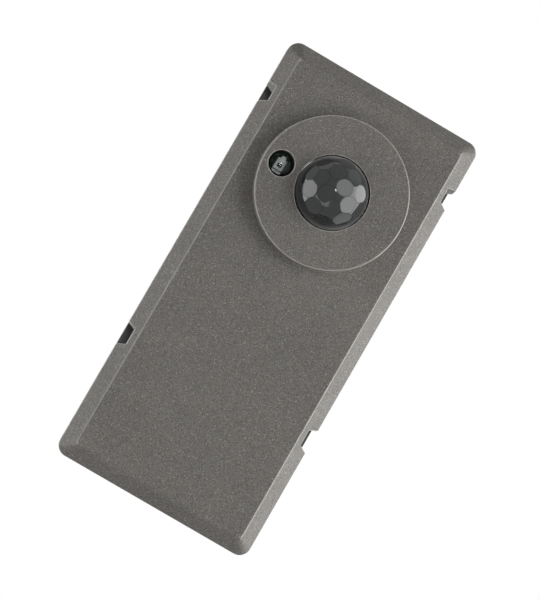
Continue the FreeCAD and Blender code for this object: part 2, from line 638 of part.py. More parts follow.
def make_front_cover():
    """Bevelled shell with the raised disc, its holes, the side notches and the snap legs."""
    body = piece("front_cover")
    plans = {}
    for name, level, inset, corner in (
        ("skirt_plan", "skirt_edge", "0", "cover_corner"),
        ("bevel_plan", "bevel_start", "0", "cover_corner"),
        ("face_plan", "face_level", "bevel_width", "bevel_corner"),
    ):
        plans[name] = flat_sketch(body, name, level)
        add_rounded(plans[name], f"half_width - {inset}", f"half_height - {inset}", corner)
    pad(body, plans["skirt_plan"], "skirt_height")
    loft = body.newObject("PartDesign::AdditiveLoft", "bevel")
    loft.Profile = plans["bevel_plan"]
    loft.Sections = [plans["face_plan"]]
    loft.Ruled = True
    doc.recompute()

    disc = flat_sketch(body, "disc_plan", "face_level")
    add_circle(disc, "0", "disc_up", "disc_radius")
    pad(body, disc, "disc_height")
    dress(body, "Fillet", "disc_edge_round", "disc_edge",
          lambda edge: at_level(edge, "disc_top") and is_round(edge, "disc_radius"))

    cavity = flat_sketch(body, "cavity_plan", "ceiling")
    add_rectangle(cavity, "-cavity_x", "cavity_x", "-cavity_z", "cavity_z")
    pocket(body, cavity, "ceiling - skirt_edge")
    dress(body, "Chamfer", "bevel_backing", "bevel_relief", lambda edge: at_level(edge, "ceiling"))
    drill(body, "disc_hollow", [("0", "disc_up", "disc_radius - disc_side")],
          "disc_ceiling", "disc_ceiling - ceiling")
    drill(body, "sleeve_space", [("-window_left", "disc_up", "sleeve_radius + sleeve_relief")],
          "disc_ceiling", "disc_ceiling - ceiling")
    openings = [("0", "disc_up", "hole_radius"), ("-window_left", "disc_up", "window_radius")]
    drill(body, "dome_and_window", openings, "disc_top", "disc_wall")
    dress(body, "Fillet", "hole_edges", "hole_rounding",
          lambda edge: at_level(edge, "disc_top")
          and (is_round(edge, "hole_radius") or is_round(edge, "window_radius")))

    for index, (side, up) in enumerate(notch_places(), start=1):
        outer = f"{side} * (half_width + notch_over)"
        root = f"{side} * (half_width - notch_depth)"
        slope = "(notch_mouth - notch_root) / 2 * notch_over / notch_depth"
        ramp = "notch_ramp" if up == "notch_up" else "0"
        plans = []
        for name, level, drop in (("front", "face_level", "0"), ("rear", "skirt_edge", ramp)):
            plans.append(flat_sketch(body, f"notch_{index}_{name}", level))
            add_polygon(plans[-1], (
                (root, f"{up} - notch_root / 2"), (outer, f"{up} - notch_mouth / 2 - {slope}"),
                (outer, f"{up} + notch_mouth / 2 + {slope} - {drop}"),
                (root, f"{up} + notch_root / 2 - {drop}")))
        cut = body.newObject("PartDesign::SubtractiveLoft", f"notch_{index}")
        cut.Profile = plans[0]
        cut.Sections = [plans[1]]
        cut.Ruled = True
        doc.recompute()

    for index, (side, up) in enumerate(notch_places(), start=1):
        low, high = sorted((f"{side} * leg_inner", f"{side} * (cavity_x + nose_gap)"), key=number)
        slab(body, f"leg_{index}", (low, high), near(up, "leg_width / 2"), "leg_end", "ceiling - leg_end")
        nose = new_sketch(body, f"nose_{index}_plan", "XY_Plane", f"{up} - leg_width / 2")
        add_polygon(nose, (
            (f"{side} * (leg_inner + nose_gap)", "-leg_end"), (f"{side} * leg_inner", "-leg_end"),
            (f"{side} * (leg_inner - nose_height)", "-(leg_end + nose_length - nose_height)"),
            (f"{side} * (leg_inner - nose_height)", "-(leg_end + nose_length)"),
            (f"{side} * (leg_inner + nose_gap)", "-(leg_end + nose_length)")))
        pad(body, nose, "leg_width")


def make_lens_dome():
    """Sensor dome: a ball trimmed by one larger ball for each facet, on its collar and foot."""
    ball = doc.addObject("Part::Sphere", "dome_ball")
    ball.setExpression("Radius", bound("dome_radius"))
    place(ball, "0", "dome_centre", "disc_up")
    trims = [ball]
    for index, (tilt, bearing) in enumerate(FACETS, start=1):
        trim = doc.addObject("Part::Sphere", f"facet_ball_{index}")
        trim.setExpression("Radius", bound("facet_sphere"))
        back = "(facet_sphere - dome_radius + facet_cut)"
        place(trim, f"-{back} * sin({tilt} deg) * cos({bearing} deg)",
              f"dome_centre - {back} * cos({tilt} deg)",
              f"disc_up - {back} * sin({tilt} deg) * sin({bearing} deg)")
        trims.append(trim)
    faceted = doc.addObject("Part::MultiCommon", "faceted_ball")
    faceted.Shapes = trims
    front = block("dome_half_space", ("-dome_radius * 2", "dome_radius * 2"),
                  ("dome_centre", "dome_centre + dome_radius * 2"), near("disc_up", "dome_radius * 2"))
    cap = doc.addObject("Part::Common", "dome_cap")
    cap.Base = faceted
    cap.Tool = front
    barrel = rod("dome_barrel", "0", "disc_up", "dome_radius", ("collar_bottom", "dome_centre"))
    collar = rod("dome_collar", "0", "disc_up", "collar_radius", ("collar_bottom", "collar_top"))
    foot = rod("dome_foot", "0", "disc_up", "lens_skirt", ("deck_top", "collar_bottom"))
    solid = fuse("dome_solid", [cap, barrel, collar, foot])
    hollow_ball = doc.addObject("Part::Sphere", "dome_hollow_ball")
    hollow_ball.setExpression("Radius", bound("dome_radius - dome_wall"))
    place(hollow_ball, "0", "dome_centre", "disc_up")
    hollow_rod = rod("dome_hollow_rod", "0", "disc_up", "dome_radius - dome_wall",
                     ("deck_top", "dome_centre"))
    lens = node(doc.addObject("Part::Cut", "lens_dome"))
    lens.Base = solid
    lens.Tool = fuse("dome_hollow", [hollow_ball, hollow_rod])


def make_light_sensor():
    """Clear resin body with its leadframe and chip, in a black sleeve that stands on the front board."""
    centre = "-window_left"
    body = piece("light_sensor_sleeve")
    tube = flat_sketch(body, "sleeve_plan", "board_front")
    add_circle(tube, centre, "disc_up", "sleeve_radius")
    pad(body, tube, "sleeve_top - board_front")
    drill(body, "sleeve_pocket", [(centre, "disc_up", "resin_radius + resin_gap")],
          "sleeve_top", "sleeve_top - resin_bottom")
    drill(body, "sleeve_channel", [(centre, "disc_up", "lead_channel")],
          "resin_bottom", "resin_bottom - board_front")

    sheet_level = ("paddle_bottom", "paddle_top")
    lead_level = ("board_front", "paddle_bottom")
    lead_x = near(centre, "lead_width / 2")
    pad_top = "disc_up - paddle_height / 2 - pad_gap"
    neck_end = "disc_up + paddle_height / 2 + neck_height"
    paddle = block("paddle", near(centre, "paddle_width / 2"), sheet_level,
                   near("disc_up", "paddle_height / 2"))
    neck = block("paddle_neck", near(centre, "neck_width / 2"), sheet_level,
                 ("disc_up + paddle_height / 2", neck_end))
    first_lead = block("first_lead", lead_x, lead_level,
                       (f"{neck_end} - 2 * frame_sheet", f"{neck_end} - frame_sheet"))
    second_pad = block("second_pad", near(centre, "pad_width / 2"), sheet_level,
                       (f"{pad_top} - pad_height", pad_top))
    second_lead = block("second_lead", lead_x, lead_level, (f"{pad_top} - frame_sheet", pad_top))
    chip_side = fuse("chip_side", [paddle, neck, first_lead])
    wire_side = fuse("wire_side", [second_pad, second_lead])
    frame = group("light_sensor_leadframe", [chip_side, wire_side])
    die_level = ("paddle_top", "paddle_top + frame_sheet")
    die = node(block("light_sensor_die", near(centre, "die_width / 2"), die_level,
                     near("disc_up - die_drop", "die_height / 2")))
    body_rod = rod("resin_body", centre, "disc_up", "resin_radius", ("resin_bottom", "resin_top"))
    without_frame = doc.addObject("Part::Cut", "resin_without_frame")
    without_frame.Base = body_rod
    without_frame.Tool = frame
    resin = node(doc.addObject("Part::Cut", "light_sensor_resin"))
    resin.Base = without_frame
    resin.Tool = die


def make_presence_sensor():
    """Square sensor can on the front board, with its filter window let into the top."""
    body = piece("pyro_sensor_can")
    half = "pyro_width / 2"
    slab(body, "can_plan", near("0", half), near("disc_up", half), "board_front", "pyro_height")
    dress(body, "Fillet", "can_corners", "chip_edge", is_depthwise)
    top = "board_front + pyro_height"
    window_x = near("0", "(pyro_width / 2 - pyro_side)")
    window_z = near("disc_up", "(pyro_width / 2 - pyro_end)")
    sink(body, "can_window", window_x, window_z, top, "pyro_window_sunk + pyro_window_sheet")
    node(block("pyro_sensor_window", window_x,
               (f"{top} - pyro_window_sunk - pyro_window_sheet", f"{top} - pyro_window_sunk"), window_z))


def make_carrier():
    """Black carrier: ledge, walls under the cover, deck, posts, spigot, housing clips and frame latches."""
    body = piece("front_carrier")
    ledge = flat_sketch(body, "ledge_plan", "0")
    add_rounded(ledge, "ledge_x", "ledge_z", "ledge_corner")
    pad(body, ledge, "ledge_height")
    slab(body, "walls", ("-wall_x", "wall_x"), ("-wall_z", "wall_z"),
         "ledge_height", "wall_top - ledge_height")
    spigot = flat_sketch(body, "spigot_plan", "-spigot_length")
    add_rectangle(spigot, "-spigot_x", "spigot_x", "-spigot_z", "spigot_z")
    pad(body, spigot, "spigot_length")
    sink(body, "bay", ("-bay_x", "bay_x"), ("-bay_z", "bay_z"), "wall_top", "deck_recess")
    sink(body, "throat", ("-throat_x", "throat_x"), ("-throat_z", "throat_z"), "deck_bottom",
         "deck_bottom + spigot_length")

    drill(body, "deck_holes", [
        ("0", "disc_up", "sensor_hole"),
        ("-window_left", "disc_up", "sleeve_radius + sleeve_relief"),
        ("-trimmer_across", "control_up", "dial_radius + control_gap"),
        ("trimmer_across", "control_up", "dial_radius + control_gap"),
        ("0", "control_up", "button_radius + control_gap"),
    ], "deck_top", "deck_thickness")
    slots = flat_sketch(body, "leg_slots", "deck_top")
    for side in SIDES:
        for up in ("electrode_leg_up", "-electrode_leg_up"):
            middle = f"{side} * (electrode_width / 2 - electrode_sheet / 2)"
            x = near(middle, "(electrode_sheet / 2 + leg_slot_gap)")
            z = near(f"-electrode_down + {up}", "(electrode_leg / 2 + leg_slot_gap)")
            add_rectangle(slots, x[0], x[1], z[0], z[1])
    pocket(body, slots, "deck_thickness")

    posts = flat_sketch(body, "post_plan", "board_front")
    stakes = flat_sketch(body, "stake_plan", "board_back - stake_proud")
    for x, z in post_places():
        add_circle(posts, x, z, "post_radius")
        add_circle(stakes, x, z, "stake_radius")
    pad(body, posts, "post_height")
    pad(body, stakes, "front_board_thickness + stake_proud")

    for index, (side, up) in enumerate(notch_places(), start=1):
        slot_z = near(up, "(leg_width / 2 + leg_play)")
        low, high = sorted((f"{side} * slot_floor", f"{side} * (wall_x + cover_gap)"), key=number)
        sink(body, f"leg_slot_{index}", (low, high), slot_z, "wall_top", "wall_top - ledge_height")
        low, high = sorted((f"{side} * (slot_floor - catch_depth)", f"{side} * wall_x"), key=number)
        sink(body, f"catch_{index}", (low, high), slot_z, "leg_end + nose_length + leg_play",
             "leg_end + nose_length + leg_play - ledge_height")

    clips = [(side, up) for side in SIDES for up in ("clip_up", "-clip_up")]
    for index, (side, up) in enumerate(clips, start=1):
        clip = new_sketch(body, f"clip_{index}_plan", "XY_Plane", f"{up} - clip_width / 2")
        root = f"{side} * (spigot_x - spigot_gap)"
        outer = f"{side} * (spigot_x + clip_height)"
        add_polygon(clip, (
            (root, "clip_start"), (outer, "clip_start"), (outer, "clip_start + clip_length / 3"),
            (f"{side} * spigot_x", "clip_start + clip_length"), (root, "clip_start + clip_length")))
        pad(body, clip, "clip_width")

    corners = [(side, end) for side in SIDES for end in SIDES]
    for index, (side, end) in enumerate(corners, start=1):
        arm = new_sketch(body, f"arm_{index}_plan", "YZ_Plane", f"{side} * arm_across - arm_width / 2")
        root = "-ledge_height / 2"
        add_polygon(arm, (
            (root, f"{end} * arm_inner"), (root, f"{end} * arm_outer"),
            ("rail_thickness", f"{end} * arm_outer"),
            ("rail_thickness", f"{end} * (arm_outer + tooth_height)"),
            ("rail_thickness + tooth_length / 5", f"{end} * (arm_outer + tooth_height)"),
            ("rail_thickness + tooth_length", f"{end} * arm_outer"),
            ("arm_length", f"{end} * (arm_outer - arm_thickness / 2)"),
            ("arm_length", f"{end} * arm_inner")))
        pad(body, arm, "arm_width")


def post_places():
    return [(f"{side} * post_across", up) for side in SIDES for up in ("post_up", "-post_down")]


def link_places():
    """Pins of the board link, side by side."""
    count = round(number("pin_count"))
    return [f"({index - (count - 1) / 2} * pin_pitch)" for index in range(count)]


def make_touch_electrode():
    """Sheet-metal touch plate with rows of holes and four legs that stand on the front board."""
    body = piece("touch_electrode")
    half_x = "electrode_width / 2"
    slab(body, "plate", near("0", half_x), near("-electrode_down", "electrode_height / 2"),
         "electrode_bottom", "electrode_sheet")
    for index, (side, up) in enumerate([(side, up) for side in SIDES for up in ("", "-")], start=1):
        low, high = sorted((f"{side} * ({half_x} - electrode_sheet)", f"{side} * {half_x}"), key=number)
        slab(body, f"plate_leg_{index}", (low, high),
             near(f"-electrode_down + {up}electrode_leg_up", "electrode_leg / 2"),
             "board_front", "electrode_bottom - board_front")
    rows = flat_sketch(body, "plate_holes", "electrode_top")
    for across in (-1, 0, 1):
        for up in (-1.5, -0.5, 0.5, 1.5):
            add_circle(rows, f"{across} * electrode_pitch",
                       f"-electrode_down + {up} * electrode_pitch", "electrode_hole")
    pocket(body, rows, "electrode_sheet")


def make_front_board():
    """Circuit board of the sensors, between the carrier's posts and the throat."""
    body = piece("front_board")
    slab(body, "front_board_plan", ("-board_x", "board_x"), ("-board_z", "board_z"),
         "board_back", "front_board_thickness")
    holes = [(x, z, "stake_radius + stake_gap") for x, z in post_places()]
    holes += [(x, "link_up", "pin_hole") for x in link_places()]
    drill(body, "front_board_holes", holes, "board_front", "front_board_thickness")


def make_trimmer(name, across):
    """Trimmer body on the front board and the slotted dial that turns in it."""
    body = piece(f"{name}_body")
    half = "trimmer_width / 2"
    slab(body, f"{name}_plan", near(across, half), near("control_up", half),
         "board_front", "trimmer_height")
    dress(body, "Chamfer", f"{name}_corners", "chip_edge", is_depthwise)
    depth = "(dial_shaft_length + dial_gap)"
    drill(body, f"{name}_bore", [(across, "control_up", "dial_shaft + dial_gap")],
          "board_front + trimmer_height", depth)

    dial = piece(f"{name}_dial")
    top = "dial_bottom + dial_height"
    foot = "dial_bottom - dial_shaft_length"
    turn(dial, f"{name}_profile", across, "control_up", (
        ("0", foot), ("dial_shaft", foot), ("dial_shaft", "dial_bottom"), ("dial_radius", "dial_bottom"),
        ("dial_radius", f"{top} - chip_edge / 2"), ("dial_radius - chip_edge / 2", top), ("0", top)))
    sink(dial, f"{name}_slot", near(across, "dial_slot_width / 2"),
         near("control_up", "(dial_radius - dial_slot_end)"), top, "dial_slot_depth")


def make_learn_button():
    """Set-up switch on the front board with its plunger."""
    body = piece("learn_switch_body")
    half = "switch_width / 2"
    slab(body, "switch_plan", near("0", half), near("control_up", half), "board_front", "switch_height")
    dress(body, "Chamfer", "switch_corners", "chip_edge", is_depthwise)
    drill(body, "switch_bore", [("0", "control_up", "button_radius + button_gap")],
          "board_front + switch_height", "switch_height * 0.85")
    button = piece("learn_button")
    foot = "board_front + button_foot"
    top = f"{foot} + button_length"
    turn(button, "button_profile", "0", "control_up", (
        ("0", foot), ("button_radius", foot), ("button_radius", f"{top} - button_dome"),
        ("button_radius - button_dome", top), ("0", top)))


def make_chip(name, x, z, half_x, half_z, level, height, front):
    """Moulded chip package, bevelled on its open side."""
    body = piece(name)
    slab(body, f"{name}_plan", near(x, half_x), near(z, half_z), level, height)
    open_side = f"{level} + {height}" if front else level
    dress(body, "Chamfer", f"{name}_bevel", "chip_edge", lambda edge: at_level(edge, open_side))


def make_board_link():
    """Pin row that joins the two boards, in a moulded body on the mains board."""
    body = piece("header_body")
    reach = "(pin_count * pin_pitch / 2)"
    slab(body, "header_plan", near("0", reach), near("link_up", "link_width / 2"),
         "power_front", "link_height")
    bores = flat_sketch(body, "header_bores", "power_front + link_height")
    for x in link_places():
        low_x, high_x = near(x, "(pin_width / 2 + screw_gap)")
        low_z, high_z = near("link_up", "(pin_width / 2 + screw_gap)")
        add_rectangle(bores, low_x, high_x, low_z, high_z)
    pocket(body, bores, "link_height")
    pins = [
        block(f"header_pin_{index}", near(x, "pin_width / 2"),
              ("power_back - pin_proud", "board_front + pin_proud"), near("link_up", "pin_width / 2"))
        for index, x in enumerate(link_places(), start=1)
    ]
    group("header_pins", pins)


def make_rear_housing():
    """Box behind the frame, stepped for the terminal block, with vents, clip windows and board ribs."""
    body = piece("rear_housing")
    slab(body, "housing_plan", ("-housing_x", "housing_x"), ("-housing_z", "housing_z"),
         "back_level", "housing_depth")
    dress(body, "Fillet", "housing_corners", "housing_corner", is_depthwise)
    dress(body, "Fillet", "housing_back_edge", "housing_corner / 2",
          lambda edge: at_level(edge, "back_level"))
    sink(body, "component_space", ("-inner_x", "inner_x"), ("step_z + step_wall", "inner_z"), "0",
         "housing_depth - housing_back")
    sink(body, "board_space", ("-inner_x", "inner_x"), ("-inner_z", "step_z + step_wall"),
         "0", "block_level")
    sink(body, "terminal_step", ("-housing_x - housing_wall", "housing_x + housing_wall"),
         ("block_bottom - housing_wall", "step_z"), "-block_level",
         "housing_depth - block_level + housing_wall")

    vent = new_sketch(body, "vent_plan", "XY_Plane", "housing_z + clip_gap")
    add_rectangle(vent, "-vent_length / 2", "vent_length / 2", "vent_start", "vent_start + vent_width")
    slot = pocket(body, vent, "housing_wall + 2 * clip_gap")
    pattern = body.newObject("PartDesign::LinearPattern", "vents")
    pattern.Originals = [slot]
    pattern.Direction = (vent, ["V_Axis"])
    pattern.setExpression("Length", bound("vent_pitch * (vent_count - 1)"))
    pattern.setExpression("Occurrences", bound("vent_count"))
    body.Tip = pattern
    doc.recompute()

    windows = new_sketch(body, "clip_windows", "YZ_Plane", "housing_x + clip_gap")
    for up in ("clip_up", "-clip_up"):
        z = near(up, "(clip_width / 2 + clip_gap)")
        add_rectangle(windows, "clip_start - clip_gap", "clip_start + clip_length + clip_gap", z[0], z[1])
    pocket(body, windows, "2 * (housing_x + clip_gap)")

    ribs = [(side, up) for side in SIDES for up in ("rib_up", "-rib_down")]
    start = "back_level + housing_back - clip_gap"
    for index, (side, up) in enumerate(ribs, start=1):
        sides = (f"{side} * (inner_x - rib_across)", f"{side} * (inner_x + clip_gap)")
        low, high = sorted(sides, key=number)
        slab(body, f"rib_{index}", (low, high), near(up, "rib_width / 2"), start, f"power_back - ({start})")


def make_power_board():
    """Mains board on the housing's ribs, with holes for the board link and the terminals."""
    body = piece("power_board")
    slab(body, "power_board_plan", ("-(inner_x - board_gap)", "inner_x - board_gap"),
         ("-(inner_z - board_gap)", "inner_z - board_gap"), "power_back", "power_board_thickness")
    holes = [(x, "link_up", "pin_hole") for x in link_places()]
    holes += [(pole_x(pole), "(bar_bottom + bar_top) / 2", "bar_hole") for pole in range(POLES)]
    holes += [(f"-varistor_across + {side} * wire_across", "varistor_up", "wire_radius + stake_gap")
              for side in SIDES]
    drill(body, "power_board_holes", holes, "power_front", "power_board_thickness")


def make_filter_parts():
    """Film capacitor and drum choke behind the mains board."""
    film = piece("film_capacitor")
    slab(film, "film_plan", near("0", "film_width / 2"), near("film_up", "film_thickness / 2"),
         "power_back - film_height", "film_height")
    dress(film, "Fillet", "film_edges", "film_edge",
          lambda edge: is_depthwise(edge) or at_level(edge, "power_back - film_height"))

    core = piece("choke_core")
    far = "power_back - choke_height"
    turn(core, "core_profile", "0", "choke_up", (
        ("0", far), ("choke_radius", far), ("choke_radius", f"{far} + choke_flange"),
        ("choke_hub", f"{far} + choke_flange"), ("choke_hub", "power_back - choke_flange"),
        ("choke_radius", "power_back - choke_flange"), ("choke_radius", "power_back"), ("0", "power_back")))

    winding = piece("choke_winding")
    start = f"{far} + choke_flange + winding_gap"
    pitch = "((choke_height - 2 * choke_flange - 2 * winding_gap) / winding_turns)"
    inner = "choke_hub + winding_gap"
    ridge = "choke_radius - winding_wire"
    groove = "choke_radius - winding_wire * 1.5"
    points = [(inner, start)]
    for step in range(round(number("winding_turns"))):
        points += [(groove, f"{start} + {step} * {pitch}"), (ridge, f"{start} + {step + 0.3} * {pitch}"),
                   (ridge, f"{start} + {step + 0.7} * {pitch}")]
    end = f"{start} + winding_turns * {pitch}"
    points += [(groove, end), (inner, end)]
    turn(winding, "winding_profile", "0", "choke_up", points)


def make_supply_parts():
    """Electrolytic capacitor, varistor, fuse and rectifier in front of the mains board."""
    can = piece("electrolytic_capacitor")
    top = "power_front + can_height"
    turn(can, "can_profile", "can_across", "can_up", (
        ("0", "power_front"), ("can_radius - can_bead", "power_front"),
        ("can_radius", "power_front + can_bead"), ("can_radius", "power_front + can_bead * 4"),
        ("can_radius - can_bead", "power_front + can_bead * 5"),
        ("can_radius", "power_front + can_bead * 6"), ("can_radius", f"{top} - can_bead"),
        ("can_radius - can_bead", top), ("0", top)))

    disc = doc.addObject("Part::Cylinder", "varistor_disc")
    disc.setExpression("Radius", bound("varistor_radius"))
    disc.setExpression("Height", bound("varistor_thickness"))
    middle = "power_front + varistor_lift + varistor_radius"
    place(disc, "-varistor_across", middle, "varistor_up - varistor_thickness / 2")
    leads = [
        rod(f"varistor_lead_{side + 2}", f"-varistor_across + {side} * wire_across", "varistor_up",
            "wire_radius", ("power_back - pin_proud", middle))
        for side in SIDES
    ]
    node(fuse("varistor", [disc] + leads))

    link = piece("fuse")
    head = "power_front + fuse_height"
    turn(link, "fuse_profile", "-fuse_across", "fuse_up", (
        ("0", "power_front"), ("fuse_radius - can_bead", "power_front"),
        ("fuse_radius - can_bead", "power_front + can_bead * 4"),
        ("fuse_radius", "power_front + can_bead * 4"), ("fuse_radius", f"{head} - can_bead"),
        ("fuse_radius - can_bead", head), ("0", head)))

    make_chip("bridge_rectifier", "bridge_across", "bridge_up", "bridge_width / 2", "bridge_height / 2",
              "power_front", "bridge_thickness", True)


def make_power_switches():
    """Two power transistors and the bent aluminium plate that cools them."""
    packages = [
        block(f"transistor_{side + 2}", near(f"{side} * transistor_across", "transistor_width / 2"),
              ("power_front", "power_front + transistor_thickness"),
              near("transistor_up", "transistor_height / 2"))
        for side in SIDES
    ]
    group("power_transistors", packages)
    body = piece("heat_spreader")
    level = "power_front + transistor_thickness"
    low_z = "transistor_up - spreader_height / 2"
    slab(body, "spreader_plan", near("0", "spreader_width / 2"),
         (low_z, "transistor_up + spreader_height / 2"), level, "spreader_sheet")
    slab(body, "spreader_end", near("0", "spreader_width / 2"), (low_z, f"{low_z} + spreader_sheet"),
         level, "spreader_flange")
    dress(body, "Fillet", "spreader_bend", "spreader_sheet * 0.8",
          lambda edge: at_level(edge, level) and abs(edge.BoundBox.ZMax - number(low_z)) < 1e-4)


def make_terminal_block():
    """Moulded block with four chambers, wire entries at the rear and screw wells in its lower face."""
    body = piece("terminal_block")
    outer = "housing_x - block_gap"
    slab(body, "block_plan", (f"-({outer})", outer), ("block_bottom", "block_upper"), "back_level",
         "housing_depth - block_level - block_gap")
    dress(body, "Fillet", "block_corners", "housing_corner / 2",
          lambda edge: at_level(edge, "back_level")
          or is_depthwise(edge) and edge.BoundBox.ZMax < number("chamber_bottom"))
    plug = "inner_x - board_gap"
    slab(body, "plug_plan", (f"-({plug})", plug), ("plug_bottom", "block_upper - board_gap"),
         "-block_level - block_gap", "block_level + block_gap + power_back")
    chambers = flat_sketch(body, "chamber_plan", "power_back")
    entries = flat_sketch(body, "entry_plan", "chamber_back")
    wells = new_sketch(body, "well_plan", "XY_Plane", "head_top + screw_gap")
    bores = new_sketch(body, "bore_plan", "XY_Plane", "chamber_bottom")
    for pole in range(POLES):
        x = near(pole_x(pole), "chamber_width / 2")
        add_rectangle(chambers, x[0], x[1], "chamber_bottom", "chamber_top")
        add_circle(entries, pole_x(pole), "entry_z", "entry_radius")
        add_circle(wells, pole_x(pole), "screw_level", "screw_head + screw_head_gap")
        add_circle(bores, pole_x(pole), "screw_level", "screw_shank + screw_gap")
    pocket(body, chambers, "power_back - (chamber_back)")
    pocket(body, entries, "block_back")
    pocket(body, wells, "head_top + screw_gap - (block_bottom)")
    pocket(body, bores, "chamber_floor")
    dress(body, "Chamfer", "entry_funnels", "entry_funnel",
          lambda edge: at_level(edge, "back_level") and is_round(edge, "entry_radius"))


def make_contact_bars():
    """Contact bars through the clamps, each with a solder pin through the mains board."""
    bars = []
    for pole in range(POLES):
        z = ("bar_bottom", "bar_top")
        strip = block(f"bar_{pole + 1}", near(pole_x(pole), "bar_width / 2"),
                      ("chamber_back + bar_end", "power_back - bar_end"), z)
        pin = block(f"bar_pin_{pole + 1}", near(pole_x(pole), "bar_pin / 2"),
                    ("power_back - bar_end", "power_front + bar_end"), z)
        bars.append(fuse(f"contact_bar_{pole + 1}", [strip, pin]))
    group("contact_bars", bars)


def make_clamp(pole):
    """One terminal's rising clamp and its captive screw."""
    x = pole_x(pole)
    name = f"cage_clamp_{pole + 1}"
    body = piece(name)
    outer = "chamber_width / 2 - cage_gap"
    ring = flat_sketch(body, f"{name}_plan", "-screw_level - cage_length / 2")
    add_rectangle(ring, f"{x} - ({outer})", f"{x} + ({outer})", "cage_bottom", "cage_top")
    add_rectangle(ring, f"{x} - ({outer}) + cage_side", f"{x} + ({outer}) - cage_side",
                  "cage_floor", "cage_top - cage_wall")
    pad(body, ring, "cage_length")
    hole = new_sketch(body, f"{name}_hole", "XY_Plane", "cage_floor")
    add_circle(hole, x, "screw_level", "screw_shank + screw_gap")
    pocket(body, hole, "cage_wall")

    name = f"clamp_screw_{pole + 1}"
    screw = piece(name)
    shank = new_sketch(screw, f"{name}_shank", "XY_Plane", "head_bottom")
    add_circle(shank, x, "screw_level", "screw_shank")
    pad(screw, shank, "bar_bottom - screw_gap * 2 - (head_bottom)")
    head = new_sketch(screw, f"{name}_head", "XY_Plane", "head_bottom")
    add_circle(head, x, "screw_level", "screw_head")
    pad(screw, head, "screw_head_height")
    slot = new_sketch(screw, f"{name}_slot", "XY_Plane", "head_bottom + screw_slot_depth")
    low_x, high_x = near(x, "screw_slot / 2")
    add_rectangle(slot, low_x, high_x, "screw_level - screw_head - screw_gap",
                  "screw_level + screw_head + screw_gap")
    pocket(screw, slot, "screw_slot_depth")


make_front_cover()
make_lens_dome()
make_light_sensor()
make_presence_sensor()
make_carrier()
make_touch_electrode()
make_front_board()
make_trimmer("time_trimmer", "-trimmer_across")
make_trimmer("lux_trimmer", "trimmer_across")
make_learn_button()
make_chip("touch_controller", "0", "-electrode_down", "chip_width / 2", "chip_height / 2",
          "board_front", "chip_thickness", True)
make_chip("microcontroller", "0", "-processor_down", "processor_width / 2", "processor_width / 2",
          "board_back - processor_thickness", "processor_thickness", False)
make_board_link()
make_rear_housing()
make_power_board()
make_filter_parts()
make_supply_parts()
make_power_switches()
make_terminal_block()
make_contact_bars()
for pole in range(POLES):
    make_clamp(pole)

doc.recompute()
for item in doc.Objects:
    if "Invalid" in item.State or "Error" in item.State:
        raise RuntimeError(f"{item.Label} failed: {item.State}")
for item in NODES:
    if item.Shape.isNull() or not item.Shape.isValid():
        raise RuntimeError(f"{item.Label} has no valid shape")

os.makedirs("parts", exist_ok=True)
for item in NODES:
    item.Shape.exportStep(f"parts/{item.Label}.step")
    print(item.Label, len(item.Shape.Solids), round(item.Shape.Volume, 2))
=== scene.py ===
"""Looks of a one-module touch dimmer with a presence sensor dome and a light sensor window."""
import logging
import math
from dataclasses import dataclass, field
from enum import Enum
from typing import ClassVar, Sequence, Union

import bmesh
import bpy
import numpy
from mathutils import Matrix, Vector


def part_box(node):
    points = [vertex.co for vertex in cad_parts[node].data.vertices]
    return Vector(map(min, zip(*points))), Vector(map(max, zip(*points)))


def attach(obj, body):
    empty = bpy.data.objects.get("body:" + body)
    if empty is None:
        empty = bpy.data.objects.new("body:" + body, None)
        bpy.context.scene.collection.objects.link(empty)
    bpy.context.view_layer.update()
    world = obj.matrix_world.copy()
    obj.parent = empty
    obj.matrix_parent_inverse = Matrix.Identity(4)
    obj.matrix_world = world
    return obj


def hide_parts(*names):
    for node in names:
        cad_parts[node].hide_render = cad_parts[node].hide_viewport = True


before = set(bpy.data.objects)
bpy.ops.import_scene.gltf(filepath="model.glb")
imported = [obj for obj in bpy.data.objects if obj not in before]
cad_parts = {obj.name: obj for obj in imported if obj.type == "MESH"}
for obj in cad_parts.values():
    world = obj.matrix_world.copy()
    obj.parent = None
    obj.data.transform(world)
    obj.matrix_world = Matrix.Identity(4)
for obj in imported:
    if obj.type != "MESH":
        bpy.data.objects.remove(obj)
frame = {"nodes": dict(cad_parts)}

# Shapes are worked out in millimetres and scaled to metres when a mesh is made.
# X is right seen from the front and Z is up; a level is a distance in front of the seat, along -Y.
MM = 0.001
LOG = logging.getLogger("touch_dimmer")

Colour = tuple[float, float, float]
Spot = tuple[float, float]
Point = Sequence[float]
Ring = Sequence[tuple[float, float, float]]
Value = Union[float, tuple, bpy.types.NodeSocket]

WHITE: Colour = (1.0, 1.0, 1.0)
# Left and right, or low and high
SIDES = (-1, 1)
SIDES_AND_ENDS = tuple((side, end) for side in SIDES for end in SIDES)


class Body(Enum):
    """The moving bodies that pieces ride on."""

    BASE = "base"
    COVER = "cover"
    TIME_DIAL = "time_dial"
    LUX_DIAL = "lux_dial"
    LEARN_KEY = "learn_key"


class Effect(Enum):
    """Surface effects that are shared by several materials."""

    GRAIN = "moulded_grain"
    MOTTLE = "mottle"
    WEAR = "edge_wear"
    BRUSHED = "brushed_metal"
    TRACKS = "board_tracks"


class Cut(Enum):
    """Ways to combine two solids."""

    TAKE = "DIFFERENCE"
    JOIN = "UNION"


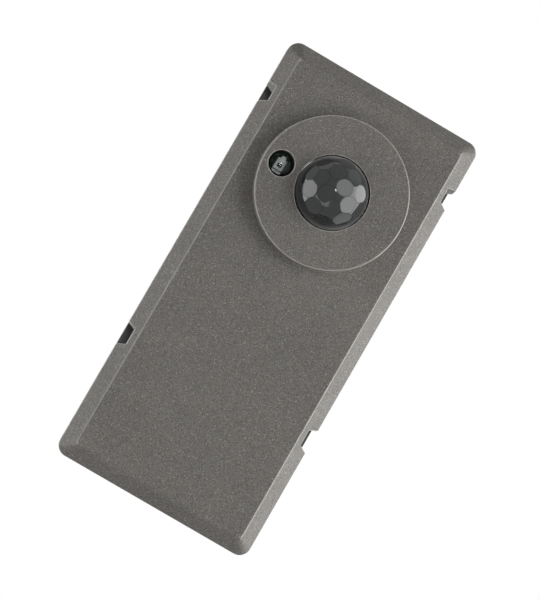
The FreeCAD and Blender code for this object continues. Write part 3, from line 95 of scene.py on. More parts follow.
@dataclass(frozen=True)
class Extent:
    """Where a node lies, in millimetres."""

    left: float
    right: float
    back: float
    front: float
    low: float
    high: float

    @classmethod
    def of(cls, node: str) -> "Extent":
        """The extent of a node of the frame."""
        low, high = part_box(node)
        return cls(low.x / MM, high.x / MM, -high.y / MM, -low.y / MM, low.z / MM, high.z / MM)

    @property
    def middle_x(self) -> float:
        """Half way from left to right."""
        return (self.left + self.right) / 2

    @property
    def middle_z(self) -> float:
        """Half way from low to high."""
        return (self.low + self.high) / 2

    @property
    def middle(self) -> Spot:
        """The middle as x and z."""
        return self.middle_x, self.middle_z

    @property
    def radius(self) -> float:
        """Half of the width."""
        return (self.right - self.left) / 2

    def edge(self, side: int) -> float:
        """The right side's x, or the left one's where the side is negative."""
        return self.right if side > 0 else self.left

    def end(self, side: int) -> float:
        """The upper end's z, or the lower one's where the side is negative."""
        return self.high if side > 0 else self.low

    def grown(self, by: float = 0.0) -> tuple[float, float, float, float]:
        """The left, right, low and high sides, moved outwards."""
        return self.left - by, self.right + by, self.low - by, self.high + by


def extent_of(node: str) -> Extent:
    """A size field that holds a node's extent."""
    return field(default_factory=lambda: Extent.of(node))


class Bench:
    """Places and joins shader nodes in one tree."""

    def __init__(self, tree: bpy.types.NodeTree) -> None:
        """Start with the tree's own nodes and links."""
        self.nodes = tree.nodes
        self.links = tree.links

    def feed(self, socket: bpy.types.NodeSocket, value: Value) -> None:
        """Link a socket to another, or set its value; a colour comes without its alpha.

        Args:
            socket: the socket.
            value: another socket, or the value.
        """
        if isinstance(value, bpy.types.NodeSocket):
            self.links.new(value, socket)
        elif socket.type == "RGBA":
            socket.default_value = (*value, 1.0)
        else:
            socket.default_value = value

    def add(self, kind: str, feeds: dict | None = None, **settings: object) -> bpy.types.Node:
        """Place one node.

        Args:
            kind: the node's type without its prefix.
            feeds: values or sockets by the name or number of the input.
            settings: attributes of the node.

        Returns:
            The new node.
        """
        node = self.nodes.new("ShaderNode" + kind)
        for key, value in settings.items():
            setattr(node, key, value)
        for key, value in (feeds or {}).items():
            self.feed(node.inputs[key], value)
        return node

    def math(self, operation: str, first: Value, second: Value = 0.0, clamp: bool = False) -> Value:
        """One step of arithmetic on single values."""
        return self.add("Math", {0: first, 1: second}, operation=operation, use_clamp=clamp).outputs[0]

    def most(self, first: Value, *others: Value) -> Value:
        """The largest of several values.

        Args:
            first: a value.
            others: the values that it is compared with.

        Returns:
            The largest.
        """
        for other in others:
            first = self.math("MAXIMUM", first, other)
        return first

    def span(self, value: Value, low: Value, high: Value, to_low: Value = 0.0, to_high: Value = 1.0) -> Value:
        """Carry a value from one range to another, held at its ends."""
        return self.add("MapRange", {0: value, 1: low, 2: high, 3: to_low, 4: to_high}).outputs[0]

    def tint(self, factor: Value, first: Value, second: Value) -> Value:
        """Mix two colours."""
        return self.add("Mix", {0: factor, 6: first, 7: second}, data_type="RGBA").outputs[2]

    def scaled(self, vector: Value, factor: Value) -> Value:
        """A vector made longer by a factor."""
        return self.add("VectorMath", {0: vector, "Scale": factor}, operation="SCALE").outputs[0]

    def noise(self, vector: Value, scale: float, detail: float = 2.0, rough: float = 0.5) -> Value:
        """A soft random value over space."""
        feeds = {"Vector": vector, "Scale": scale, "Detail": detail, "Roughness": rough}
        return self.add("TexNoise", feeds).outputs[0]

    def effect(self, effect: Effect, **inputs: Value) -> bpy.types.Node:
        """Place a shared effect with its own values; an input's name is written with capitals.

        Args:
            effect: the effect.
            inputs: the values of its inputs by name.

        Returns:
            The group's node.
        """
        node = self.nodes.new("ShaderNodeGroup")
        node.node_tree = Effects.tree(effect)
        for key, value in inputs.items():
            self.feed(node.inputs[key.replace("_", " ").title()], value)
        return node


class Effects:
    """Shader node groups, each built once."""

    @classmethod
    def tree(cls, effect: Effect) -> bpy.types.NodeTree:
        """The group of an effect, made on first use.

        Args:
            effect: the effect.

        Returns:
            The group.
        """
        made = bpy.data.node_groups.get(effect.value)
        if made is None:
            made = bpy.data.node_groups.new(effect.value, "ShaderNodeTree")
            getattr(cls, "_" + effect.name.lower())(made)
        return made

    @staticmethod
    def _sockets(tree: bpy.types.NodeTree, inputs: dict[str, float], outputs: Sequence[str]) -> tuple:
        """Name the group's inputs, with their usual values, and its outputs.

        Args:
            tree: the group.
            inputs: the name and usual value of each input.
            outputs: the names of the outputs.

        Returns:
            A bench for the group, its inputs by name and its output node.
        """
        for name, value in inputs.items():
            socket = tree.interface.new_socket(name=name, in_out="INPUT", socket_type="NodeSocketFloat")
            socket.default_value = value
        for name in outputs:
            tree.interface.new_socket(name=name, in_out="OUTPUT", socket_type="NodeSocketFloat")
        bench = Bench(tree)
        entry = tree.nodes.new("NodeGroupInput")
        end = tree.nodes.new("NodeGroupOutput")
        return bench, {name: entry.outputs[name] for name in inputs}, end

    @staticmethod
    def _place(bench: Bench, size: Value) -> Value:
        """The place on the piece, counted in steps of a size in millimetres."""
        return bench.scaled(bench.add("TexCoord").outputs["Object"], bench.math("DIVIDE", 1.0 / MM, size))

    @classmethod
    def _grain(cls, tree: bpy.types.NodeTree) -> None:
        """Fine moulded grain with bright metallic specks.

        Args:
            tree: the group that is filled.
        """
        bench, given, end = cls._sockets(tree, {"Size": 0.2, "Specks": 0.06}, ("Tone", "Speck", "Height"))
        place = cls._place(bench, given["Size"])
        cloud = bench.noise(place, 1.0, 3.0, 0.62)
        cells = bench.add("TexVoronoi", {"Vector": place, "Scale": 1.25})
        random_value = bench.add("SeparateColor", {0: cells.outputs["Color"]}).outputs[0]
        chosen = bench.math("GREATER_THAN", random_value, bench.math("SUBTRACT", 1.0, given["Specks"]))
        middle = bench.span(cells.outputs["Distance"], 0.2, 0.42, 1.0, 0.0)
        fine = bench.noise(place, 2.3, 1.0, 0.5)
        tone = bench.math("MULTIPLY", random_value, 0.35)
        tone = bench.math("ADD", tone, bench.math("MULTIPLY", cloud, 0.45))
        tone = bench.math("ADD", tone, bench.math("MULTIPLY", fine, 0.3), clamp=True)
        bench.feed(end.inputs["Tone"], tone)
        bench.feed(end.inputs["Speck"], bench.math("MULTIPLY", chosen, middle))
        bench.feed(end.inputs["Height"], bench.math("ADD", cloud, bench.math("MULTIPLY", fine, 0.5)))

    @classmethod
    def _mottle(cls, tree: bpy.types.NodeTree) -> None:
        """Slow changes of tone and of gloss over a surface.

        Args:
            tree: the group that is filled.
        """
        bench, given, end = cls._sockets(tree, {"Size": 6.0, "Detail": 3.0}, ("Tone", "Gloss"))
        place = cls._place(bench, given["Size"])
        bench.feed(end.inputs["Tone"], bench.noise(place, 1.0, given["Detail"], 0.55))
        bench.feed(end.inputs["Gloss"], bench.noise(place, 2.6, given["Detail"], 0.6))

    @classmethod
    def _wear(cls, tree: bpy.types.NodeTree) -> None:
        """Lighter outer edges, broken up by noise: edge wear, and a painted highlight on the faces that round
        softened edges.

        Args:
            tree: the group that is filled.
        """
        inputs = {"Width": 0.12, "Amount": 0.5, "Start": 0.8, "Breakup": 1.0}
        bench, given, end = cls._sockets(tree, inputs, ("Edge",))
        radius = bench.math("MULTIPLY", given["Width"], MM)
        soft = bench.add("Bevel", {"Radius": radius}, samples=6).outputs[0]
        sharp = bench.add("NewGeometry").outputs["Normal"]
        near = bench.add("VectorMath", {0: soft, 1: sharp}, operation="DOT_PRODUCT").outputs["Value"]
        turned = bench.span(near, given["Start"], 0.997, 1.0, 0.0)
        # Every face that rounds a softened edge counts fully: a painted highlight along the edge.
        turned = bench.most(turned, bench.add("Attribute", attribute_name=Piece.ROUNDING).outputs["Fac"])
        least = bench.math("SUBTRACT", 1.0, given["Breakup"])
        patches = bench.span(bench.noise(cls._place(bench, 0.9), 1.0, 4.0, 0.65), 0.35, 0.65, least)
        bench.feed(end.inputs["Edge"], bench.math("MULTIPLY", bench.math("MULTIPLY", turned, patches),
                                                  given["Amount"]))

    @classmethod
    def _brushed(cls, tree: bpy.types.NodeTree) -> None:
        """Fine lines of rolled or turned metal, along Z.

        Args:
            tree: the group that is filled.
        """
        bench, given, end = cls._sockets(tree, {"Size": 0.05, "Stretch": 12.0}, ("Line", "Height"))
        place = cls._place(bench, given["Size"])
        squeeze = bench.math("DIVIDE", 1.0, given["Stretch"])
        factors = bench.add("CombineXYZ", {0: 1.0, 1: 1.0, 2: squeeze}).outputs[0]
        drawn = bench.add("VectorMath", {0: place, 1: factors}, operation="MULTIPLY").outputs[0]
        lines = bench.noise(drawn, 1.0, 3.0, 0.6)
        bench.feed(end.inputs["Line"], bench.span(lines, 0.3, 0.7))
        bench.feed(end.inputs["Height"], lines)

    @classmethod
    def _tracks(cls, tree: bpy.types.NodeTree) -> None:
        """Copper tracks and glass weave under the coat of a circuit board.

        Args:
            tree: the group that is filled.
        """
        bench, given, end = cls._sockets(tree, {"Pitch": 1.1, "Width": 0.3}, ("Copper", "Weave"))
        place = cls._place(bench, given["Pitch"])
        feeds = {"Vector": place, "Scale": 0.42, "Randomness": 0.82}
        islands = bench.add("TexVoronoi", feeds, distance="MANHATTAN")
        lots = bench.add("SeparateColor", {0: islands.outputs["Color"]})
        split = bench.add("SeparateXYZ", {0: place})
        upright = bench.math("GREATER_THAN", lots.outputs[0], 0.5)
        along = bench.add("Mix", {0: upright, 2: split.outputs["X"], 3: split.outputs["Z"]}).outputs[0]
        row = bench.math("PINGPONG", along, 0.5)
        line = bench.math("LESS_THAN", row, given["Width"])
        filled = bench.math("GREATER_THAN", lots.outputs[1], 0.72)
        rims = bench.add("TexVoronoi", feeds, feature="DISTANCE_TO_EDGE")
        inside = bench.math("GREATER_THAN", rims.outputs["Distance"], 0.06)
        copper = bench.math("MULTIPLY", bench.most(line, filled), inside)
        bench.feed(end.inputs["Copper"], copper)
        waves = [bench.math("SINE", bench.math("MULTIPLY", split.outputs[axis], 14.0)) for axis in "XZ"]
        bench.feed(end.inputs["Weave"], bench.math("MULTIPLY", *waves))


def put_in_scene(name: str, data: bpy.types.ID) -> bpy.types.Object:
    """A new object with its data, in the scene.

    Args:
        name: the object's name.
        data: its mesh, light or camera.

    Returns:
        The new object.
    """
    item = bpy.data.objects.new(name, data)
    bpy.context.scene.collection.objects.link(item)
    return item


def read(items: bpy.types.bpy_prop_collection, name: str, width: int = 1, kind: type = float) -> numpy.ndarray:
    """One property of all items, with so many numbers for each.

    Args:
        items: the items.
        name: the property.
        width: how many numbers each item has.
        kind: whole numbers or decimals.

    Returns:
        The numbers in one row.
    """
    values = numpy.empty(width * len(items), dtype=kind)
    items.foreach_get(name, values)
    return values


def shade(colour: Colour, factor: float) -> Colour:
    """A colour made darker or lighter by a factor."""
    return tuple(part * factor for part in colour)


class Paint(Bench):
    """A material in the making, with its Principled shader."""

    def __init__(self, name: str) -> None:
        """Start a material.

        Args:
            name: the material's name.
        """
        self.material = bpy.data.materials.new(name)
        self.material.use_nodes = True
        super().__init__(self.material.node_tree)
        self.shader = self.nodes["Principled BSDF"]

    def give(self, feeds: dict[str, Value]) -> None:
        """Feed the shader's inputs by name."""
        for key, value in feeds.items():
            self.feed(self.shader.inputs[key], value)

    def gloss(self, mottle: bpy.types.Node, low: float, high: float) -> Value:
        """A roughness between two values that follows a mottle."""
        return self.span(mottle.outputs["Gloss"], 0.3, 0.7, low, high)

    def bump(self, height: Value, depth: float) -> None:
        """Raise the surface by a height pattern, to a depth in millimetres."""
        node = self.add("Bump", {"Height": height, "Distance": depth * MM, "Strength": 1.0})
        self.give({"Normal": node.outputs[0]})


@dataclass(frozen=True)
class Moulded:
    """A moulded plastic with grain, slow mottling, and edges painted lighter as wear and as a painted highlight along
    their rounding.
    """

    name: str
    colour: Colour
    rough: float = 0.5
    grain: float = 0.2
    relief: float = 0.008
    contrast: float = 0.25
    specks: float = 0.0
    speck_colour: Colour = (0.5, 0.5, 0.48)
    edge_wear: float = 0.35
    edge_start: float = 0.8
    edge_light: float = 1.7
    edge_breakup: float = 1.0
    edge_polish: float = 0.1
    gloss: float = 0.5

    def make(self) -> bpy.types.Material:
        """Build the material.

        Returns:
            The material.
        """
        paint = Paint(self.name)
        grain = paint.effect(Effect.GRAIN, size=self.grain, specks=self.specks)
        mottle = paint.effect(Effect.MOTTLE, size=7.0)
        wear_and_highlight = paint.effect(Effect.WEAR, width=0.14, amount=self.edge_wear, start=self.edge_start,
                            breakup=self.edge_breakup)
        edge = wear_and_highlight.outputs["Edge"]
        tone = paint.span(grain.outputs["Tone"], 0.28, 0.78)
        slow = paint.math("MULTIPLY", paint.math("SUBTRACT", mottle.outputs["Tone"], 0.5), 0.3)
        colour = paint.tint(paint.math("ADD", tone, slow, clamp=True),
                            shade(self.colour, 1 - self.contrast), shade(self.colour, 1 + self.contrast))
        if self.specks:
            colour = paint.tint(grain.outputs["Speck"], colour, self.speck_colour)
        rough = paint.gloss(mottle, self.rough - 0.05, self.rough + 0.05)
        # Base colour lighter at the edges: wear, and a painted highlight along the edge roundings.
        paint.give({"Base Color": paint.tint(edge, colour, shade(self.colour, self.edge_light)),
                    "Roughness": paint.math("SUBTRACT", rough, paint.math("MULTIPLY", tone, 0.06)),
                    "Coat Weight": paint.math("MULTIPLY", edge, self.edge_polish),
                    "Coat Roughness": 0.2, "Specular IOR Level": self.gloss})
        paint.bump(grain.outputs["Height"], self.relief)
        return paint.material


@dataclass(frozen=True)
class Metal:
    """A bare metal with fine lines and slow stains."""

    name: str
    colour: Colour
    rough: float = 0.3
    line: float = 0.05
    stretch: float = 12.0
    relief: float = 0.002
    stain: float = 0.25

    def make(self) -> bpy.types.Material:
        """Build the material.

        Returns:
            The material.
        """
        paint = Paint(self.name)
        lines = paint.effect(Effect.BRUSHED, size=self.line, stretch=self.stretch)
        mottle = paint.effect(Effect.MOTTLE, size=1.6, detail=5.0)
        wear_and_highlight = paint.effect(Effect.WEAR, width=0.1, amount=0.6)
        stained = paint.span(mottle.outputs["Tone"], 0.35, 0.7)
        colour = paint.tint(stained, shade(self.colour, 1 - self.stain), self.colour)
        streak = paint.math("MULTIPLY", lines.outputs["Line"], 0.12)
        rough = paint.gloss(mottle, self.rough - 0.05, self.rough + 0.08)
        # Lighter edges: wear, and a painted highlight along the edge roundings.
        paint.give({"Base Color": paint.tint(wear_and_highlight.outputs["Edge"], colour, shade(self.colour, 1.15)),
                    "Roughness": paint.math("ADD", rough, streak), "Metallic": 1.0})
        paint.bump(lines.outputs["Height"], self.relief)
        return paint.material


@dataclass(frozen=True)
class Clear:
    """Clear cast resin with faint waviness."""

    name: str
    colour: Colour
    rough: float = 0.05
    bending: float = 1.25

    def make(self) -> bpy.types.Material:
        """Build the material.

        Returns:
            The material.
        """
        paint = Paint(self.name)
        mottle = paint.effect(Effect.MOTTLE, size=0.7)
        paint.give({"Base Color": self.colour, "Transmission Weight": 1.0, "IOR": self.bending,
                    "Roughness": paint.gloss(mottle, self.rough, self.rough + 0.01)})
        paint.bump(mottle.outputs["Tone"], 0.001)
        return paint.material


@dataclass(frozen=True)
class Lens:
    """A smoky glossy lens whose borders between facets are dull."""

    name: str
    colour: Colour
    coat: float = 0.88
    border: float = 0.55
    haze: float = 0.35

    def make(self) -> bpy.types.Material:
        """Build the material.

        Returns:
            The material.
        """
        paint = Paint(self.name)
        border = paint.add("Attribute", attribute_name=SensorDome.BORDER).outputs["Fac"]
        grain = paint.effect(Effect.GRAIN, size=0.16, specks=0.012)
        mottle = paint.effect(Effect.MOTTLE, size=1.4, detail=4.0)
        wear_and_highlight = paint.effect(Effect.WEAR, width=0.1, amount=0.15)
        hazy = paint.span(mottle.outputs["Tone"], 0.3, 0.75)
        colour = paint.tint(hazy, self.colour, shade(self.colour, 1.5))
        colour = paint.tint(grain.outputs["Speck"], colour, shade(self.colour, 9.0))
        shiny = paint.math("SUBTRACT", 1.0, paint.math("MULTIPLY", border, self.border))
        # Lighter edges: wear, and a painted highlight along the edge roundings.
        paint.give({"Base Color": paint.tint(wear_and_highlight.outputs["Edge"], colour, shade(self.colour, 3.0)),
                    "Roughness": paint.gloss(mottle, 0.3, 0.45),
                    "Coat Weight": paint.math("MULTIPLY", shiny, self.coat), "Coat Roughness": 0.05,
                    "Sheen Weight": self.haze, "Sheen Roughness": 0.35, "Specular IOR Level": 0.0})
        paint.bump(mottle.outputs["Tone"], 0.0008)
        return paint.material


@dataclass(frozen=True)
class Lacquered:
    """A glossy coat over a coloured body: dipped, sleeved or enamelled parts."""

    name: str
    colour: Colour
    rough: float = 0.35
    coat: float = 0.6
    relief: float = 0.01
    grain: float = 0.6

    def make(self) -> bpy.types.Material:
        """Build the material.

        Returns:
            The material.
        """
        paint = Paint(self.name)
        mottle = paint.effect(Effect.MOTTLE, size=self.grain, detail=4.0)
        wear_and_highlight = paint.effect(Effect.WEAR, width=0.12, amount=0.4)
        tone = paint.span(mottle.outputs["Tone"], 0.3, 0.7)
        colour = paint.tint(tone, shade(self.colour, 0.8), self.colour)
        # Lighter edges: wear, and a painted highlight along the edge roundings.
        paint.give({"Base Color": paint.tint(wear_and_highlight.outputs["Edge"], colour, shade(self.colour, 1.3)),
                    "Roughness": paint.gloss(mottle, self.rough - 0.06, self.rough + 0.06),
                    "Coat Weight": self.coat, "Coat Roughness": 0.12})
        paint.bump(mottle.outputs["Tone"], self.relief)
        return paint.material


@dataclass(frozen=True)
class BoardCoat:
    """Solder mask over copper tracks on a glass-fibre board."""

    name: str
    colour: Colour = (0.018, 0.115, 0.045)
    over_copper: Colour = (0.03, 0.17, 0.06)
    thread: Colour = (0.2, 0.3, 0.12)

    def make(self) -> bpy.types.Material:
        """Build the material.

        Returns:
            The material.
        """
        paint = Paint(self.name)
        tracks = paint.effect(Effect.TRACKS)
        mottle = paint.effect(Effect.MOTTLE, size=2.0, detail=4.0)
        copper = tracks.outputs["Copper"]
        weave = paint.span(tracks.outputs["Weave"], -1.0, 1.0, 0.0, 0.1)
        colour = paint.tint(copper, self.colour, self.over_copper)
        paint.give({"Base Color": paint.tint(weave, colour, self.thread),
                    "Roughness": paint.gloss(mottle, 0.3, 0.42)})
        paint.bump(paint.math("ADD", copper, paint.math("MULTIPLY", weave, 0.6)), 0.012)
        return paint.material


class Palette:
    """Every finish of the part, each made into its material on first use."""

    FINISHES: ClassVar[tuple] = (
        # The cover's strong edge lightening is a painted highlight line along its bevel and disc edges, with a
        # glossier coat there.
        Moulded("cover_graphite", (0.1135, 0.1073, 0.0987), rough=0.5, grain=0.1, relief=0.004,
                contrast=0.55, specks=0.035, speck_colour=(0.5, 0.485, 0.455), edge_wear=1.0,
                edge_start=0.985, edge_light=1.9, edge_breakup=0.3, edge_polish=0.9, gloss=0.2),
        Lens("dome_smoke", (0.009, 0.01, 0.0102)),
        Clear("clear_resin", (0.8, 0.815, 0.82)),
        Metal("tinned_metal", (0.62, 0.62, 0.6), rough=0.3),
        Metal("sensor_frame", (0.27, 0.285, 0.28), rough=0.4, line=0.03, relief=0.001),
        Moulded("sensor_chip", (0.004, 0.004, 0.005), rough=0.4, grain=0.05, relief=0.0005,
                contrast=0.2, edge_wear=0.2, gloss=0.15),
        Moulded("sleeve_black", (0.004, 0.004, 0.004), rough=0.7, grain=0.1, relief=0.003,
                contrast=0.2, edge_wear=0.05, gloss=0.15),
        Moulded("black_plastic", (0.022, 0.0205, 0.0195), rough=0.48, grain=0.16, relief=0.006,
                contrast=0.25),
        Metal("can_metal", (0.6, 0.59, 0.56), rough=0.28, line=0.08, stretch=3.0),
        Metal("solder", (0.55, 0.55, 0.54), rough=0.22, line=0.3, stretch=1.0, relief=0.01),
        Moulded("ceramic", (0.1, 0.07, 0.05), rough=0.5, grain=0.06, relief=0.002, contrast=0.2),
        Lacquered("potting", (0.3, 0.19, 0.06), rough=0.2, coat=0.8, relief=0.03, grain=1.5),
        Lacquered("filter_window", (0.02, 0.022, 0.03), rough=0.12, coat=0.3, relief=0.001),
        Metal("touch_steel", (0.42, 0.415, 0.395), rough=0.42, line=0.06, stretch=25.0),
        BoardCoat("board_green"),
        Moulded("chip_black", (0.018, 0.018, 0.019), rough=0.55, grain=0.08, relief=0.004,
                contrast=0.2, edge_wear=0.2),
        Moulded("trimmer_body", (0.05, 0.09, 0.24), rough=0.42, grain=0.12, relief=0.003),
        Moulded("trimmer_dial", (0.62, 0.6, 0.55), rough=0.45, grain=0.12, relief=0.003,
                contrast=0.1),
        Moulded("button_white", (0.7, 0.69, 0.66), rough=0.4, grain=0.12, relief=0.003,
                contrast=0.08),
        Moulded("housing_grey", (0.03, 0.0295, 0.0285), rough=0.5, grain=0.2, relief=0.009,
                contrast=0.28),
        Moulded("film_yellow", (0.5, 0.33, 0.05), rough=0.38, grain=0.3, relief=0.004,
                contrast=0.12),
        Moulded("ferrite", (0.035, 0.034, 0.034), rough=0.6, grain=0.1, relief=0.008,
                contrast=0.3),
        Lacquered("enamelled_copper", (0.42, 0.13, 0.045), rough=0.28, coat=0.8, relief=0.003),
        Lacquered("capacitor_sleeve", (0.035, 0.04, 0.075), rough=0.3, coat=0.5, relief=0.002),
        Lacquered("varistor_blue", (0.03, 0.12, 0.36), rough=0.4, coat=0.4, relief=0.02),
        Metal("spreader_aluminium", (0.72, 0.72, 0.72), rough=0.35, line=0.07, stretch=20.0),
        Moulded("terminal_grey", (0.2, 0.198, 0.19), rough=0.46, grain=0.2, relief=0.007,
                contrast=0.14),
        Metal("clamp_steel", (0.52, 0.51, 0.48), rough=0.34, line=0.07, stretch=8.0),
        Metal("screw_steel", (0.58, 0.57, 0.54), rough=0.28, line=0.05, stretch=2.0),
    )

    @classmethod
    def get(cls, name: str) -> bpy.types.Material:
        """The material of a finish.

        Args:
            name: the finish's name.

        Returns:
            The material.
        """
        made = bpy.data.materials.get("finish_" + name)
        if made is None:
            finish = next(item for item in cls.FINISHES if item.name == name)
            made = finish.make()
            made.name = "finish_" + name
        return made


def turns(steps: int) -> list[float]:
    """Equal steps of a full turn, in radians."""
    return [2 * math.pi * step / steps for step in range(steps)]


def quarter(steps: int) -> list[float]:
    """Equal steps from zero to a quarter turn, in radians."""
    return [math.pi / 2 * step / steps for step in range(steps + 1)]


def spread_out(count: int, pitch: float) -> list[float]:
    """Evenly spaced places about zero."""
    return [(index - (count - 1) / 2) * pitch for index in range(count)]


def disc(centre: Spot, radius: float, steps: int = 24) -> list[Spot]:
    """A round outline."""
    return [(centre[0] + radius * math.cos(turn), centre[1] + radius * math.sin(turn)) for turn in turns(steps)]


def about(x: float, z: float, wide: float, high: float) -> tuple[float, float, float, float]:
    """The sides of a rectangle about its middle, from its half sizes."""
    return x - wide, x + wide, z - high, z + high


def oblong(left: float, right: float, low: float, high: float) -> list[Spot]:
    """A rectangle's outline."""
    return [(left, low), (right, low), (right, high), (left, high)]


def rounded(left: float, right: float, low: float, high: float, corner: float, steps: int = 5) -> list[Spot]:
    """A rectangle's outline with round corners.

    Args:
        left: the left side.
        right: the right side.
        low: the lower side.
        high: the upper side.
        corner: the corners' radius.
        steps: parts of each corner.

    Returns:
        The outline's points.
    """
    spots = []
    for quarters, (x, z) in enumerate(((right, high), (left, high), (left, low), (right, low))):
        middle_x = x - math.copysign(corner, x - (left + right) / 2)
        middle_z = z - math.copysign(corner, z - (low + high) / 2)
        for turn in quarter(steps):
            turn += quarters * math.pi / 2
            spots.append((middle_x + corner * math.cos(turn), middle_z + corner * math.sin(turn)))
    return spots


def rim(radius: float, level: float, edge: float, steps: int = 6) -> list[Spot]:
    """The round edge of a turned piece as radius and level, from its side to its front."""
    return [(radius - edge + edge * math.cos(turn), level - edge + edge * math.sin(turn)) for turn in quarter(steps)]


class Form:
    """A solid under construction, in millimetres."""

    def __init__(self) -> None:
        """Start empty."""
        self.mesh = bmesh.new()

    def walls(self, rings: Sequence[Ring], loop: bool = False) -> list[list[bmesh.types.BMVert]]:
        """Join rings of x, level and z points by walls.

        Args:
            rings: rings with as many points each.
            loop: join the last ring to the first too.

        Returns:
            The corners of each ring.
        """
        rows = [[self.mesh.verts.new((x, -level, z)) for x, level, z in ring] for ring in rings]
        for first, second in list(zip(rows, rows[1:])) + [(rows[-1], rows[0])] * loop:
            for index in range(len(first)):
                after = (index + 1) % len(first)
                self.mesh.faces.new((first[index], first[after], second[after], second[index]))
        return rows

    def skin(self, rings: Sequence[Ring]) -> "Form":
        """Join rings of x, level and z points by walls and cap both ends.

        Args:
            rings: rings with as many points each.

        Returns:
            The form itself.
        """
        rows = self.walls(rings)
        self.mesh.faces.new(rows[0][::-1])
        self.mesh.faces.new(rows[-1])
        return self

    def prism(self, outline: Sequence[Spot], back: float, front: float) -> "Form":
        """Raise an outline of x and z points from one level to another."""
        return self.skin([[(x, level, z) for x, z in outline] for level in (back, front)])

    def bar(self, outline: Sequence[Spot], low: float, high: float) -> "Form":
        """Raise an outline of x and level points from one height to another."""
        return self.skin([[(x, level, z) for x, level in outline] for z in (low, high)])

    def slab(self, outline: Sequence[Spot], left: float, right: float) -> "Form":
        """Raise an outline of level and z points from one x to another."""
        return self.skin([[(x, level, z) for level, z in outline] for x in (left, right)])

    def lathe(self, profile: Sequence[Spot], centre: Spot, steps: int = 96) -> "Form":
        """Turn a profile of radius and level about a line along the depth.

        Args:
            profile: the points from one end of the line to the other, with no radius at the ends,
                or a closed loop that stays off the line.
            centre: the line's x and z.
            steps: parts of a full turn.

        Returns:
            The form itself.
        """
        on_line = profile[0][0] == 0
        inner = profile[1:-1] if on_line else profile
        rows = self.walls([[(x, level, z) for x, z in disc(centre, radius, steps)] for radius, level in inner],
                          loop=not on_line)
        for row, (_, level) in ((rows[0], profile[0]), (rows[-1], profile[-1])) if on_line else ():
            tip = self.mesh.verts.new((centre[0], -level, centre[1]))
            for index in range(steps):
                self.mesh.faces.new((row[index], row[(index + 1) % steps], tip))
        return self

    def tube(self, path: Sequence[Point], radius: float, steps: int = 10) -> "Form":
        """Sweep a round section along a path of x, level and z points, with flat ends.

        Args:
            path: the points of the path.
            radius: the section's radius.
            steps: the section's corners.

        Returns:
            The form itself.
        """
        spots = [Vector(spot) for spot in path]
        ways = [(after - before).normalized() for before, after in zip(spots, spots[1:])]
        ways = [ways[0], *[(first + second).normalized() for first, second in zip(ways, ways[1:])], ways[-1]]
        side = ways[0].orthogonal()
        rings = []
        for spot, way in zip(spots, ways):
            side = (side - way * side.dot(way)).normalized()
            other = way.cross(side)
            rings.append([spot + radius * (math.cos(turn) * side + math.sin(turn) * other)
                          for turn in turns(steps)])
        return self.skin(rings)

    def wire(self, spot: Spot, back: float, front: float, radius: float, steps: int = 12) -> "Form":
        """A straight wire along the depth at x and z, from one level to another."""
        return self.tube(((spot[0], back, spot[1]), (spot[0], front, spot[1])), radius, steps)

    def lead(self, spot: Spot, way: Spot, board: float, rise: float, width: float, reach: float,
             sheet: float = 0.15) -> "Form":
        """A bent flat lead of a chip.

        Args:
            spot: where it leaves the package, as x and z.
            way: the direction in which it leaves, as x and z.
            board: the level of the board's surface.
            rise: the level at which it leaves the package.
            width: its width.
            reach: how far it stands out.
            sheet: its thickness.

        Returns:
            The form itself.
        """
        sheet = math.copysign(sheet, rise - board)
        side_view = ((-0.2, rise + sheet / 2), (0.3 * reach, rise + sheet / 2), (0.6 * reach, board + sheet),
                     (reach, board + sheet), (reach, board), (0.52 * reach, board),
                     (0.22 * reach, rise - sheet / 2), (-0.2, rise - sheet / 2))
        return self.skin([[(spot[0] + way[0] * out - way[1] * aside, level, spot[1] + way[1] * out + way[0] * aside)
                           for out, level in side_view] for aside in (-width / 2, width / 2)])

    def solder(self, spot: Spot, base: float, height: float, radius: float = 0.75) -> "Form":
        """A solder joint on a board; its height is negative on the rear side."""
        shares = ((0, -0.05), (1, 0), (0.72, 0.18), (0.48, 0.5), (0.36, 0.85), (0, 1))
        return self.lathe([(radius * out, base + height * up) for out, up in shares], spot, 16)

    def object(self, name: str) -> bpy.types.Object:
        """Write the form to a new object, still in millimetres.

        Args:
            name: the object's name.

        Returns:
            The object.
        """
        bmesh.ops.recalc_face_normals(self.mesh, faces=self.mesh.faces)
        data = bpy.data.meshes.new(name)
        self.mesh.to_mesh(data)
        self.mesh.free()
        return put_in_scene(name, data)


